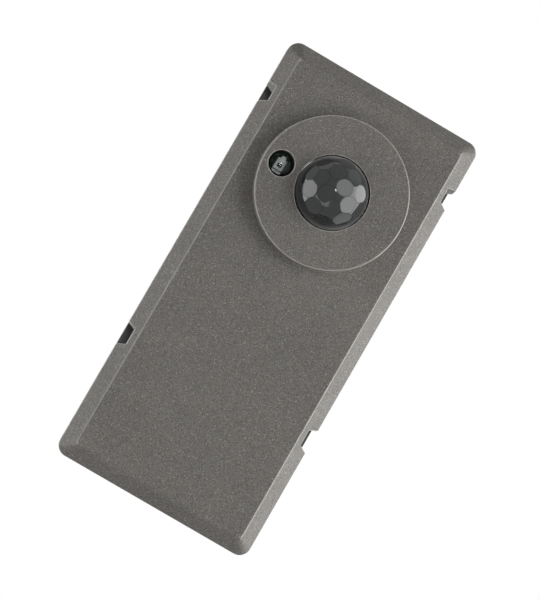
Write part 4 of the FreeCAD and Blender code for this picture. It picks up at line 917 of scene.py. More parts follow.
class Piece:
    """One piece in the making, in millimetres until it is finished."""

    # Faces that round an edge; the edge effect paints a highlight on them.
    ROUNDING: ClassVar[str] = "rounding"

    def __init__(self, name: str, form: Form, node: str | None = None) -> None:
        """Start from a form; the piece stands for a node of the frame, where it has one."""
        self.item = form.object(name)
        self.node = node

    @classmethod
    def copy_of(cls, node: str, name: str) -> "Piece":
        """A copy of a node's shape, with its flat faces joined up again.

        Args:
            node: the node.
            name: the piece's name.

        Returns:
            The piece.
        """
        form = Form()
        form.mesh.from_mesh(frame["nodes"][node].data)
        mesh = form.mesh
        bmesh.ops.scale(mesh, vec=(1 / MM, 1 / MM, 1 / MM), verts=mesh.verts)
        bmesh.ops.remove_doubles(mesh, verts=mesh.verts, dist=0.0005)
        bmesh.ops.dissolve_limit(mesh, angle_limit=math.radians(0.4), verts=mesh.verts, edges=mesh.edges)
        return cls(name, form, node)

    def settle(self) -> None:
        """Write the modifiers into the mesh."""
        graph = bpy.context.evaluated_depsgraph_get()
        made = bpy.data.meshes.new_from_object(self.item.evaluated_get(graph))
        old = self.item.data
        self.item.modifiers.clear()
        self.item.data = made
        made.name = self.item.name
        bpy.data.meshes.remove(old)

    def combine(self, forms: Sequence[Form], cut: Cut) -> "Piece":
        """Take forms out of the piece one by one, or join them on.

        Args:
            forms: the forms.
            cut: what is done with them.

        Returns:
            The piece itself.
        """
        for form in forms:
            tool = form.object("tool")
            step = self.item.modifiers.new("step", "BOOLEAN")
            step.operation = cut.value
            step.solver = "EXACT"
            step.object = tool
            self.settle()
            data = tool.data
            bpy.data.objects.remove(tool)
            bpy.data.meshes.remove(data)
        return self

    def take(self, *forms: Form) -> "Piece":
        """Cut forms out of the piece."""
        return self.combine(forms, Cut.TAKE)

    def join(self, *forms: Form) -> "Piece":
        """Join forms on to the piece."""
        return self.combine(forms, Cut.JOIN)

    def soften(self, width: float, angle: float = 40.0, segments: int = 2) -> "Piece":
        """Round the edges that are sharper than an angle.

        Args:
            width: the width of the rounding.
            angle: the angle in degrees.
            segments: the rounding's steps.

        Returns:
            The piece itself.
        """
        edge = self.item.modifiers.new("edges", "BEVEL")
        edge.width = width
        edge.segments = segments
        edge.limit_method = "ANGLE"
        edge.angle_limit = math.radians(angle)
        edge.use_clamp_overlap = True
        edge.miter_outer = "MITER_ARC"
        self.settle()
        return self

    def smooth(self, spread: float = 38.0) -> None:
        """Shade faces that meet within an angle as one surface, led by the larger ones.

        Args:
            spread: the angle in degrees.
        """
        data = self.item.data
        mesh = bmesh.new()
        mesh.from_mesh(data)
        bmesh.ops.remove_doubles(mesh, verts=mesh.verts, dist=0.0004)
        bmesh.ops.dissolve_degenerate(mesh, dist=0.0004, edges=mesh.edges)
        mesh.to_mesh(data)
        mesh.free()
        data.polygons.foreach_set("use_smooth", [True] * len(data.polygons))
        corners = read(data.loops, "vertex_index", kind=int)
        sizes = read(data.polygons, "loop_total", kind=int)
        normals = read(data.polygons, "normal", 3).reshape(-1, 3)
        areas = read(data.polygons, "area")
        self.mark_roundings(areas)
        order = numpy.argsort(corners, kind="stable")
        spots = corners[order]
        faces = numpy.repeat(numpy.arange(len(sizes)), sizes)[order]
        ways = normals[faces]
        pull = ways * (areas[faces] ** 2 + 1e-12)[:, None]
        summed = pull.copy()
        limit = math.cos(math.radians(spread))
        for shift in range(1, len(spots)):
            same = spots[shift:] == spots[:-shift]
            if not same.any():
                break
            first = numpy.nonzero(same & ((ways[shift:] * ways[:-shift]).sum(1) > limit))[0]
            summed[first] += pull[first + shift]
            summed[first + shift] += pull[first]
        summed /= numpy.maximum(numpy.linalg.norm(summed, axis=1), 1e-30)[:, None]
        result = numpy.empty_like(summed)
        result[order] = summed
        data.normals_split_custom_set(result.tolist())

    def mark_roundings(self, areas: numpy.ndarray, widest: float = 0.12, fade: float = 0.03) -> None:
        """Mark the long narrow faces that round an edge.

        Args:
            areas: the area of each face.
            widest: the width from which a face is no longer marked.
            fade: the range of width below it in which the mark fades.
        """
        data = self.item.data
        spots = read(data.vertices, "co", 3).reshape(-1, 3)
        ends = read(data.edges, "vertices", 2, int)
        lengths = numpy.linalg.norm(spots[ends[0::2]] - spots[ends[1::2]], axis=1)
        sides = read(data.loops, "edge_index", kind=int)
        longest = numpy.maximum.reduceat(lengths[sides], read(data.polygons, "loop_start", kind=int))
        width = areas / longest
        marks = numpy.clip((widest - width) / fade, 0.0, 1.0) * (longest > 2.5 * width)
        data.attributes.new(self.ROUNDING, "FLOAT", "FACE").data.foreach_set("value", marks.astype(numpy.float32))

    def finish(self, finish: str, body: Body | str = Body.BASE, slot: str | None = None,
               spread: float = 38.0) -> bpy.types.Object:
        """Shade the piece, scale it to metres, give it its finish and let it ride.

        Args:
            finish: the finish's name.
            body: the body that carries it.
            slot: not used.
            spread: the angle within which faces are shaded as one surface.

        Returns:
            The finished object.
        """
        self.smooth(spread)
        self.item.data.transform(Matrix.Scale(MM, 4))
        self.item.data.materials.clear()
        self.item.data.materials.append(Palette.get(finish))
        if self.node:
            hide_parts(self.node)
        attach(self.item, body.value if isinstance(body, Body) else body)
        LOG.info("made %s", self.item.name)
        return self.item


def soften_node(node: str, name: str, finish: str, width: float, segments: int = 2,
                body: Body | str = Body.BASE) -> None:
    """Stand in for a node with a copy whose edges are rounded.

    Args:
        node: the node.
        name: the piece's name.
        finish: the finish's name.
        width: the width of the rounding.
        segments: its steps.
        body: the body that carries it.
    """
    Piece.copy_of(node, name).soften(width, segments=segments).finish(finish, body)


def dress_node(name: str, finish: str) -> None:
    """Give a node of the frame its finish.

    Args:
        name: the node.
        finish: the finish's name.
    """
    item = frame["nodes"][name]
    material = Palette.get(finish)
    for slot in item.material_slots:
        slot.link = "OBJECT"
        slot.material = material


@dataclass
class Cover:
    """The graphite cover: bevelled shell with the raised disc, openings, notches and snap legs."""

    extent: Extent = extent_of("front_cover")
    corner: float = 1.25
    corner_steps: int = 10
    skirt_level: float = 3.8
    bevel_level: float = 5.4
    face_level: float = 6.9
    bevel_width: float = 1.5
    face_corner: float = 0.4
    face_steps: int = 4
    side_round: float = 0.07
    end_round: float = 0.3
    wall: float = 1.3
    ceiling: float = 5.8
    relief: float = 0.6
    disc_drop: float = 12.15
    disc_radius: float = 8.0
    disc_edge: float = 0.12
    disc_hollow: float = 6.6
    disc_ceiling: float = 7.2
    hole_radius: float = 3.87
    hole_edge: float = 0.08
    window_left: float = 6.0
    window_radius: float = 1.35
    sleeve_space: float = 1.55
    notch_drop: float = 6.1
    notch_rise: float = 13.85
    notch_depth: float = 0.9
    notch_mouth: float = 2.6
    notch_root: float = 1.74
    notch_ramp: float = 0.55
    leg_inner: float = 9.35
    leg_width: float = 1.7
    nose: float = 0.2
    nose_length: float = 0.7
    seam: float = 0.05
    broken_edge: float = 0.05

    def build(self) -> None:
        """Make the cover's mesh."""
        piece = Piece("cover_shell", Form().skin(self.shell_rings()), "front_cover")
        middle = (0.0, self.extent.high - self.disc_drop)
        window = (-self.window_left, middle[1])
        top = self.extent.front
        raised = ((0, self.ceiling + 0.3), (self.disc_radius, self.ceiling + 0.3),
                  *rim(self.disc_radius, top, self.disc_edge), (0, top))
        piece.join(Form().lathe(raised, middle, 160)).take(self.cavity())
        under = self.ceiling - 0.4
        for spot, radius, end, steps in ((middle, self.disc_hollow, self.disc_ceiling, 96),
                                         (window, self.sleeve_space, self.disc_ceiling - 0.001, 48)):
            piece.take(Form().lathe(((0, under), (radius, under), (radius, end), (0, end)), spot, steps))
        piece.take(self.hole(middle, self.hole_radius, 128), self.hole(window, self.window_radius, 72))
        for side in SIDES:
            for up, ramp in ((self.extent.high - self.notch_drop, self.notch_ramp),
                             (self.notch_rise - self.extent.high, 0.0)):
                piece.take(self.notch(side, up, ramp)).join(self.leg(side, up))
        piece.soften(self.broken_edge, 28.0).finish("cover_graphite", Body.COVER)

    def ring(self, inset: float, corner: float, level: float, end_inset: float | None = None,
             end_level: float | None = None) -> Ring:
        """One rounded ring of the shell.

        Args:
            inset: how far the long sides lie inside the outline.
            corner: the corner's radius.
            level: the level along the long sides.
            end_inset: how far the short ends lie inside, where that differs.
            end_level: the level along the short ends, where that differs.

        Returns:
            The ring's points.
        """
        half_x = self.extent.right - inset
        half_z = self.extent.high - (inset if end_inset is None else end_inset)
        rise = 0.0 if end_level is None else end_level - level
        points = []
        for quarters, (side, end) in enumerate(((1, 1), (-1, 1), (-1, -1), (1, -1))):
            for turn in quarter(self.corner_steps):
                angle = turn + quarters * math.pi / 2
                points.append((side * (half_x - corner) + corner * math.cos(angle),
                               level + rise * math.sin(angle) ** 2,
                               end * (half_z - corner) + corner * math.sin(angle)))
        return points

    def shell_rings(self) -> list[Ring]:
        """The rings of the outer shell, from its rear edge to the face.

        Returns:
            The rings.
        """
        rings = [self.ring(0.0, self.corner, level) for level in (self.skirt_level, self.bevel_level)]
        swell = 0.1 * math.sqrt(0.5)
        for step in range(self.face_steps + 1):
            rest = 1 - step / self.face_steps
            turn = math.radians(45.0 * rest)
            insets, levels = [], []
            for reach in (self.side_round, self.end_round):
                radius = reach / math.tan(math.radians(22.5))
                insets.append(self.bevel_width + reach - radius * math.sin(turn))
                levels.append(self.face_level - radius * (1 - math.cos(turn)))
            corner = self.face_corner * (0.9 + 0.1 * rest) + swell * rest
            rings.append(self.ring(insets[0], corner, levels[0], insets[1], levels[1]))
        return rings

    def notch(self, side: int, up: float, ramp: float) -> Form:
        """The cutter of one side notch, whose upper end slopes down towards the rear by the ramp.

        Args:
            side: 1 at the right and -1 at the left.
            up: the notch's middle above the cover's.
            ramp: how far the upper end comes down between the face and the skirt.

        Returns:
            The cutter.
        """
        slope = (self.notch_mouth - self.notch_root) / 2
        root = side * (self.extent.right - self.notch_depth)
        outer = side * (self.extent.right + self.notch_depth)
        rings = []
        for level in (self.skirt_level - 1.0, self.face_level + 1.0):
            drop = ramp * (self.face_level - level) / (self.face_level - self.skirt_level)
            rings.append([(root, level, up - self.notch_root / 2),
                          (outer, level, up - self.notch_mouth / 2 - slope),
                          (outer, level, up + self.notch_mouth / 2 + slope - drop),
                          (root, level, up + self.notch_root / 2 - drop)])
        return Form().skin(rings)

    def leg(self, side: int, up: float) -> Form:
        """One snap leg with its nose.

        Args:
            side: 1 at the right and -1 at the left.
            up: the leg's middle above the cover's.

        Returns:
            The leg.
        """
        end, top = self.extent.back, self.ceiling + 0.1
        outer = self.extent.right - self.wall + self.seam
        tip = self.leg_inner - self.nose
        side_view = ((outer, top), (outer, end), (self.leg_inner, end), (tip, end + self.nose_length - self.nose),
                     (tip, end + self.nose_length), (self.leg_inner, end + self.nose_length), (self.leg_inner, top))
        half = self.leg_width / 2
        return Form().skin([[(side * x, level, up + z) for x, level in side_view] for z in (-half, half)])

    def cavity(self) -> Form:
        """The space inside the cover, with its relief behind the bevel.

        Returns:
            The space.
        """
        half_x, half_z = self.extent.right - self.wall, self.extent.high - self.wall
        rings = []
        for inset, level in ((0.0, self.skirt_level - 1.0), (0.0, self.ceiling - self.relief),
                             (self.relief, self.ceiling)):
            rings.append([(x * (half_x - inset), level, z * (half_z - inset))
                          for x, z in ((1, -1), (1, 1), (-1, 1), (-1, -1))])
        return Form().skin(rings)

    def hole(self, spot: Spot, radius: float, steps: int) -> Form:
        """A hole through the disc with its broken front edge.

        Args:
            spot: the hole's x and z.
            radius: its radius.
            steps: parts of a full turn.

        Returns:
            The cutter.
        """
        top, edge = self.extent.front, self.hole_edge
        under = self.disc_ceiling - 0.5
        lip = [(radius + edge - edge * math.cos(turn), top - edge + edge * math.sin(turn)) for turn in quarter(5)]
        return Form().lathe([(0, under), (radius, under), *lip, (radius + edge, top + 0.5), (0, top + 0.5)],
                            spot, steps)


@dataclass
class LightSensor:
    """The light sensor behind the window: resin body, sleeve, leadframe, chip and bond wire."""

    body: Extent = extent_of("light_sensor_resin")
    sleeve: Extent = extent_of("light_sensor_sleeve")
    frame: Extent = extent_of("light_sensor_leadframe")
    chip: Extent = extent_of("light_sensor_die")
    body_radius: float = 1.16
    body_edge: float = 0.08
    crown: float = 0.42
    sleeve_gap: float = 0.02
    frame_width: float = 1.06
    sheet: float = 0.12
    bar_width: float = 0.27
    neck_width: float = 0.56
    neck_height: float = 0.32
    slot: float = 0.1
    pad_height: float = 0.24
    chip_inset: float = 0.05
    wire_radius: float = 0.03
    wire_rise: float = 0.16
    wire_steps: int = 8

    def build(self) -> None:
        """Make every piece."""
        self.build_resin()
        self.build_sleeve()
        self.build_leadframe()
        self.build_chip()

    def build_resin(self) -> None:
        """The clear body, turned, with its crown."""
        radius, body = self.body_radius, self.body
        crown = [(radius * math.cos(turn), body.front - self.crown * (1 - math.sin(turn))) for turn in quarter(15)]
        profile = [(0, body.back), (radius - self.body_edge, body.back), (radius, body.back + self.body_edge),
                   *crown[:-1], (0, body.front)]
        Piece("sensor_resin", Form().lathe(profile, body.middle, 64), "light_sensor_resin").finish("clear_resin")

    def build_sleeve(self) -> None:
        """The thin black sleeve round the body."""
        bore = self.body_radius + self.sleeve_gap
        outer, back, front = self.sleeve.radius, self.sleeve.back, self.sleeve.front
        profile = ((bore, back), (outer, back), (outer, front - 0.04), (outer - 0.03, front),
                   (bore + 0.01, front), (bore, front - 0.02))
        form = Form().lathe(profile, self.sleeve.middle, 72)
        Piece("sensor_sleeve", form, "light_sensor_sleeve").finish("sleeve_black", slot="black_plastic")

    def build_leadframe(self) -> None:
        """The paddle with raised side bars and a neck, the lower pads and the leads."""
        middle, low, high = self.frame.middle_x, self.frame.low, self.frame.high
        left, right = middle - self.frame_width / 2, middle + self.frame_width / 2
        back = self.frame.front - self.sheet
        shoulder = high - self.neck_height
        pad_top = low + self.pad_height
        foot = pad_top + self.slot
        neck = self.neck_width / 2
        paddle = [(left, foot), (right, foot), (right, shoulder), (middle + neck, shoulder),
                  (middle + neck - 0.06, high), (middle - neck + 0.06, high), (middle - neck, shoulder),
                  (left, shoulder)]
        piece = Piece("sensor_leadframe", Form().prism(paddle, back - 0.03, back + 0.03), "light_sensor_leadframe")
        for start, way in ((left, 1), (right, -1)):
            inner = start + way * self.bar_width
            piece.join(Form().bar([(start, back - 0.03), (inner, back - 0.03), (inner, back + 0.005),
                                   (start + way * 0.02, self.frame.front)], foot, shoulder + 0.02))
        for start, end in ((left + 0.05, middle - 0.12), (middle - 0.06, right - 0.05)):
            piece.join(Form().prism(oblong(start, end, low, pad_top), back - 0.05, back + 0.02))
        for x in (middle - 0.3, middle + 0.3):
            lead = oblong(*about(x, low + self.pad_height / 2, 0.12, 0.11))
            piece.join(Form().prism(lead, self.frame.back, back))
        piece.soften(0.015, 30.0, 1).finish("sensor_frame", slot="tinned_metal")

    def build_chip(self) -> None:
        """The square chip on the paddle, with its bond wire down to the pad."""
        base = self.frame.front - self.sheet
        top = self.chip.front - self.chip_inset
        form = Form().prism(oblong(*self.chip.grown()), base, top)
        Piece("sensor_chip", form, "light_sensor_die").soften(0.02, 30.0, 1).finish("sensor_chip")
        start = Vector((self.chip.middle_x, top, self.chip.low + 0.08))
        end = Vector((self.chip.middle_x + 0.05, base - 0.01, self.frame.low + self.pad_height / 2))
        path = []
        for step in range(self.wire_steps + 1):
            share = step / self.wire_steps
            path.append(start.lerp(end, share) + Vector((0, self.wire_rise * math.sin(math.pi * share), 0)))
        Piece("sensor_bond_wire", Form().tube(path, self.wire_radius, 8)).finish("sensor_frame", slot="tinned_metal")


@dataclass
class SensorDome:
    """The smoky faceted lens dome with its collar and foot."""

    BORDER: ClassVar[str] = "facet_border"
    # Facets: tilt from the axis and bearing from the right, in degrees
    FACETS: ClassVar[tuple[Spot, ...]] = (
        (15.4, 226.5), (15.6, 49.7), (32.4, 164.3), (31.9, 109.5), (44.0, 66.2), (43.5, 203.3),
        (44.2, 244.4), (28.5, 287.9), (31.0, 342.9), (46.0, 24.5), (55.0, 353.4),
        (51.4, 317.2), (52.6, 278.8), (51.5, 168.5), (52.5, 138.0), (59.1, 94.8))
    extent: Extent = extent_of("lens_dome")
    radius: float = 3.8
    wall: float = 0.75
    facet_sphere: float = 18.0
    facet_cut: float = 0.094
    facet_reach: float = 0.94
    collar_height: float = 0.85
    foot_wide: float = 0.3
    border_width: float = 0.011
    rings: int = 120
    hollow_rings: int = 12
    steps: int = 320

    def __post_init__(self) -> None:
        """Turn the facets into directions and find the dome's centre."""
        self.normals = [self.direction(math.radians(tilt), math.radians(bearing)) for tilt, bearing in self.FACETS]
        self.centre = Vector((self.extent.middle_x, self.extent.front - self.radius, self.extent.middle_z))

    @staticmethod
    def direction(tilt: float, bearing: float) -> Vector:
        """A direction as x, level and z."""
        return Vector((math.sin(tilt) * math.cos(bearing), math.cos(tilt), math.sin(tilt) * math.sin(bearing)))

    def reach(self, direction: Vector) -> Spot:
        """Where the surface lies in a direction from the dome's centre.

        Args:
            direction: the direction as x, level and z.

        Returns:
            The distance, and how near to a border between facets it is, from 0 to 1.
        """
        back = self.facet_sphere - self.radius + self.facet_cut
        cuts = [self.radius, self.radius]
        for normal in self.normals:
            along = normal.dot(direction)
            if along > self.facet_reach:
                cuts.append(math.sqrt(self.facet_sphere ** 2 - back ** 2 * (1 - along ** 2)) - back * along)
        nearest, second = sorted(cuts)[:2]
        if nearest == self.radius:
            return nearest, 0.0
        return nearest, math.exp(-((second - nearest) / self.border_width) ** 2)

    def bowl(self, count: int, radius: float | None = None) -> list[Ring]:
        """Rings over the front half of a ball, from near its tip outwards.

        Args:
            count: the number of rings.
            radius: the ball's radius, or nothing for the faceted surface.

        Returns:
            The rings.
        """
        rings = []
        for ring in range(1, count + 1):
            ways = [self.direction(math.pi / 2 * ring / count, turn) for turn in turns(self.steps)]
            rings.append([self.centre + way * (radius or self.reach(way)[0]) for way in ways])
        return rings

    def build(self) -> None:
        """Make the dome's mesh: faceted cap, barrel, collar, foot and hollow."""
        back, level = self.extent.back, self.centre.y
        collar_back = (back + level) / 2
        collar_front = collar_back + self.collar_height
        foot, inner = self.radius + self.foot_wide, self.radius - self.wall
        profile = ((inner, level), (inner, back), (foot, back), (foot, collar_back),
                   (self.extent.right, collar_back), (self.extent.right, collar_front), (self.radius, collar_front))
        shell = [[(x, at, z) for x, z in disc(self.extent.middle, reach, self.steps)] for reach, at in profile]
        form = Form().skin(self.bowl(self.hollow_rings, inner)[:-1] + shell + self.bowl(self.rings)[::-1])
        item = Piece("faceted_dome", form, "lens_dome").finish("dome_smoke", spread=6.0)
        self.mark_borders(item.data)

    def mark_borders(self, data: bpy.types.Mesh) -> None:
        """Mark the points near a border between facets.

        Args:
            data: the finished dome's mesh.
        """
        marks = []
        for point in data.vertices:
            away = Vector((point.co.x, -point.co.y, point.co.z)) / MM - self.centre
            outside = away.y > 0 and away.length > self.radius - self.wall / 2
            marks.append(self.reach(away.normalized())[1] if outside else 0.0)
        data.attributes.new(self.BORDER, "FLOAT", "POINT").data.foreach_set("value", marks)


@dataclass
class Carrier:
    """The black carrier between cover and housing."""

    edge: float = 0.06

    def build(self) -> None:
        """Soften the moulded edges."""
        soften_node("front_carrier", "carrier_body", "black_plastic", self.edge)


@dataclass
class TouchPlate:
    """The stamped touch plate behind the blank face."""

    edge: float = 0.04

    def build(self) -> None:
        """Soften the stamped edges."""
        soften_node("touch_electrode", "touch_plate", "touch_steel", self.edge)


@dataclass
class Trimmer:
    """One setting trimmer: body with its metal tabs, and the dial that turns in it."""

    name: str
    dial_body: Body
    fluting: int = 20
    flute_depth: float = 0.035
    dial_radius: float = 1.4
    dial_height: float = 0.95
    shaft_radius: float = 0.5
    slot_width: float = 0.42
    slot_depth: float = 0.42
    pointer_depth: float = 0.12

    def build(self) -> None:
        """Make the body, its tabs and the dial."""
        node = f"{self.name}_trimmer_body"
        case = Extent.of(node)
        soften_node(node, f"{self.name}_trimmer_case", "trimmer_body", width=0.12)
        tabs = Form()
        for side, shift in ((-1, -1.1), (-1, 1.1), (1, 0.0)):
            tabs.lead((case.edge(side), case.middle_z + shift), (side, 0), case.back, case.back + 0.35,
                      width=0.6, reach=0.55)
        Piece(f"{self.name}_trimmer_tabs", tabs).soften(0.02, segments=1).finish("tinned_metal")
        self.build_dial()

    def build_dial(self) -> None:
        """The fluted dial with a cross slot and a pointer."""
        node = f"{self.name}_trimmer_dial"
        box = Extent.of(node)
        (x, z), front = box.middle, box.front
        back = front - self.dial_height
        rings = []
        for level, inset in ((back, 0.06), (back + 0.06, 0.0), (front - 0.1, 0.0), (front, 0.1)):
            reaches = [(self.dial_radius - inset - self.flute_depth * (1 + math.cos(turn * self.fluting)), turn)
                       for turn in turns(self.fluting * 8)]
            rings.append([(x + reach * math.cos(turn), level, z + reach * math.sin(turn)) for reach, turn in reaches])
        piece = Piece(f"{self.name}_dial", Form().skin(rings), node)
        piece.join(Form().prism(disc(box.middle, self.shaft_radius, 32), box.back, back + 0.1))
        half, reach = self.slot_width / 2, self.dial_radius - 0.35
        for wide, high in ((half, reach), (0.7 * reach, half)):
            slot = rounded(*about(x, z, wide, high), 0.08, 3)
            piece.take(Form().prism(slot, front - self.slot_depth, front + 1))
        pointer = ((x, z + 1.32), (x - 0.2, z + 1.1), (x + 0.2, z + 1.1))
        piece.take(Form().prism(pointer, front - self.pointer_depth, front + 1))
        piece.soften(0.03).finish("trimmer_dial", self.dial_body)


@dataclass
class LearnSwitch:
    """The set-up switch: base, metal lid with four stakes, feet and button."""

    case: Extent = extent_of("learn_switch_body")
    lid_inset: float = 0.1
    lid_sheet: float = 0.15
    stake_reach: float = 1.08
    stake_radius: float = 0.2
    foot_reach: float = 1.5
    button_radius: float = 0.8
    button_edge: float = 0.25
    button_foot: float = 0.04

    def build(self) -> None:
        """Make every piece."""
        (x, z), top, base = self.case.middle, self.case.front, self.case.back
        soften_node("learn_switch_body", "switch_base", "chip_black", width=0.06)
        plan = rounded(*self.case.grown(-self.lid_inset), 0.3)
        lid = Piece("switch_lid", Form().prism(plan, top - 0.02, top + self.lid_sheet))
        lid.take(Form().prism(disc((x, z), self.button_radius + 0.1, 48), top - 1, top + 1))
        lid.soften(0.03).finish("can_metal")
        stakes, feet = Form(), Form()
        stake = ((0, 0), (self.stake_radius, 0), (self.stake_radius, 0.2), (self.stake_radius / 2, 0.27), (0, 0.29))
        for side, end in SIDES_AND_ENDS:
            spot = (x + side * self.stake_reach, z + end * self.stake_reach)
            stakes.lathe([(radius, top + rise) for radius, rise in stake], spot, 16)
            feet.lead((x + side * self.foot_reach, z + end), (side, 0), base, base + 0.3,
                      width=0.5, reach=0.6)
        Piece("switch_stakes", stakes).finish("chip_black", spread=60.0)
        Piece("switch_feet", feet).soften(0.02, segments=1).finish("tinned_metal")
        self.build_button()

    def build_button(self) -> None:
        """The round button with its soft front edge."""
        box, radius, foot = Extent.of("learn_button"), self.button_radius, self.button_foot
        profile = ((0, box.back), (radius - foot, box.back), (radius, box.back + foot),
                   *rim(radius, box.front, self.button_edge), (0, box.front))
        form = Form().lathe(profile, box.middle, 48)
        Piece("switch_button", form, "learn_button").finish("button_white", Body.LEARN_KEY)


@dataclass
class PresenceSensor:
    """The metal can under the dome, with its filter window, rim and tab."""

    rim_width: float = 0.25
    sheet: float = 0.2

    def build(self) -> None:
        """Make the can, the rim and the window."""
        soften_node("pyro_sensor_can", "presence_can", "can_metal", width=0.14, segments=3)
        box = Extent.of("pyro_sensor_can")
        front = box.back + self.sheet
        foot = Form().prism(rounded(*box.grown(self.rim_width), 0.4), box.back, front)
        left, low = box.left, box.low
        tab = ((left - 0.1, low + 0.5), (left - 0.6, low - 0.1), (left - 0.1, low - 0.6), (left + 0.5, low - 0.1))
        piece = Piece("presence_can_rim", foot).join(Form().prism(tab, box.back, front))
        piece.soften(0.04).finish("can_metal")
        soften_node("pyro_sensor_window", "presence_filter", "filter_window", width=0.03, segments=1)


@dataclass
class FrontBoard:
    """The sensor board with its chips, small parts, board link and solder."""

    # Small parts by length, width and whether they stand upright, with their places
    SMALL_PARTS: ClassVar[tuple[tuple[float, float, bool, tuple[Spot, ...]], ...]] = (
        (1.0, 0.5, False, ((-3.1, 7.0), (-2.2, 4.7), (2.5, 4.4), (-5.4, 16.2), (-3.3, -2.9), (-1.6, -16.6),
                           (3.4, -17.0))),
        (1.0, 0.5, True, ((1.4, 6.8), (-4.3, 4.6), (4.4, 4.7), (5.6, 8.4), (-1.3, -2.6), (3.2, -2.7), (4.4, -9.6),
                          (-4.6, -12.4))),
        (1.6, 0.8, False, ((-1.2, 6.6), (0.2, 4.6), (5.4, 16.0), (0.6, -2.9), (1.0, -16.8))),
        (1.6, 0.8, True, ((3.0, 6.4), (-5.6, 8.0), (-4.4, -8.6), (4.6, -13.2))))
    board: Extent = extent_of("front_board")
    end_cap: float = 0.24
    cap_thickness: float = 0.02
    pins: int = 6
    pin_pitch: float = 2.0
    mark_radius: float = 0.28
    mark_inset: float = 0.75
    mark_depth: float = 0.08

    def build(self) -> None:
        """Make every piece."""
        dress_node("front_board", "board_green")
        self.build_small_parts()
        self.build_chips()
        joints = Form()
        for x in spread_out(self.pins, self.pin_pitch):
            joints.solder((x, Extent.of("header_pins").middle_z), self.board.front, height=0.5)
        for side in SIDES:
            for z in (-7.3, -16.3):
                joints.solder((side * 7.1, z), self.board.front, height=0.35, radius=0.45)
        Piece("front_solder", joints).finish("solder", slot="tinned_metal", spread=50.0)
        soften_node("header_body", "link_body", "black_plastic", width=0.08)
        soften_node("header_pins", "link_pins", "tinned_metal", width=0.06, segments=1)

    def build_small_parts(self) -> None:
        """Small resistors and capacitors with their metal ends."""
        bodies, ends = Form(), Form()
        for length, width, upright, places in self.SMALL_PARTS:
            half, side = length / 2, width / 2
            front = self.board.front + 0.45 * width + 0.12
            for x, z in places:
                for form, start, end, proud in ((bodies, 0.1 - half, half - 0.1, 0.0),
                                                (ends, -half, self.end_cap - half, self.cap_thickness),
                                                (ends, half - self.end_cap, half, self.cap_thickness)):
                    along, across = (start, end), (-side - proud, side + proud)
                    wide, high = (across, along) if upright else (along, across)
                    plan = oblong(x + wide[0], x + wide[1], z + high[0], z + high[1])
                    form.prism(plan, self.board.front, front + proud)
        Piece("small_parts", bodies).soften(0.03, segments=1).finish("ceramic", slot="chip_black")
        Piece("small_part_ends", ends).soften(0.03, segments=1).finish("tinned_metal")

    def build_chips(self) -> None:
        """The touch controller and the microcontroller with their leads."""
        leads = Form()
        for node, count, all_round, pitch, width in (("touch_controller", 4, False, 1.27, 0.42),
                                                     ("microcontroller", 8, True, 0.8, 0.32)):
            box = Extent.of(node)
            in_front = box.back >= self.board.front - 0.01
            base, top, away = (self.board.front, box.front, 1) if in_front else (self.board.back, box.back, -1)
            bent = {"board": base, "rise": base + away * 0.55, "width": width, "reach": 0.95}
            for shift in spread_out(count, pitch):
                for side in SIDES:
                    leads.lead((box.edge(side), box.middle_z + shift), (side, 0), **bent)
                    if all_round:
                        leads.lead((box.middle_x + shift, box.end(side)), (0, side), **bent)
            mark = disc((box.left + self.mark_inset, box.high - self.mark_inset), self.mark_radius, 20)
            chip = Piece.copy_of(node, node + "_package")
            chip.take(Form().prism(mark, top - self.mark_depth, top + self.mark_depth))
            chip.soften(0.05).finish("chip_black")
        Piece("chip_leads", leads).finish("tinned_metal")


@dataclass
class RearHousing:
    """The deep housing in the wall, with its shallow panels, ribs and ejector marks."""

    box: Extent = extent_of("rear_housing")
    panel_depth: float = 0.2
    rib_levels: tuple[float, ...] = (-12.6, -17.7, -22.8)
    rib_half: float = 0.35
    mark_radius: float = 1.3
    mark_depth: float = 0.12

    def build(self) -> None:
        """Make the housing."""
        piece = Piece.copy_of("rear_housing", "housing_shell")
        for side in SIDES:
            wall = self.box.edge(side)
            floor = wall - side * self.panel_depth
            panel = rounded(-27.0, -8.5, -6.0, 17.5, 1.2)
            piece.take(Form().slab(panel, *sorted((floor, wall + side))))
            for level in self.rib_levels:
                rib = rounded(level - self.rib_half, level + self.rib_half, -4.5, 16.0, 0.3)
                piece.join(Form().slab(rib, *sorted((floor - side * 0.02, wall))))
        rear = self.box.back
        for x, z in ((-6.6, 18.4), (6.6, 18.4), (-6.6, -8.0), (6.6, -8.0)):
            piece.take(Form().prism(disc((x, z), self.mark_radius, 40), rear - 1, rear + self.mark_depth))
        piece.take(Form().prism(rounded(-7.6, 7.6, -5.0, 15.4, 1.0), rear - 1, rear + self.panel_depth))
        piece.soften(0.09).finish("housing_grey")


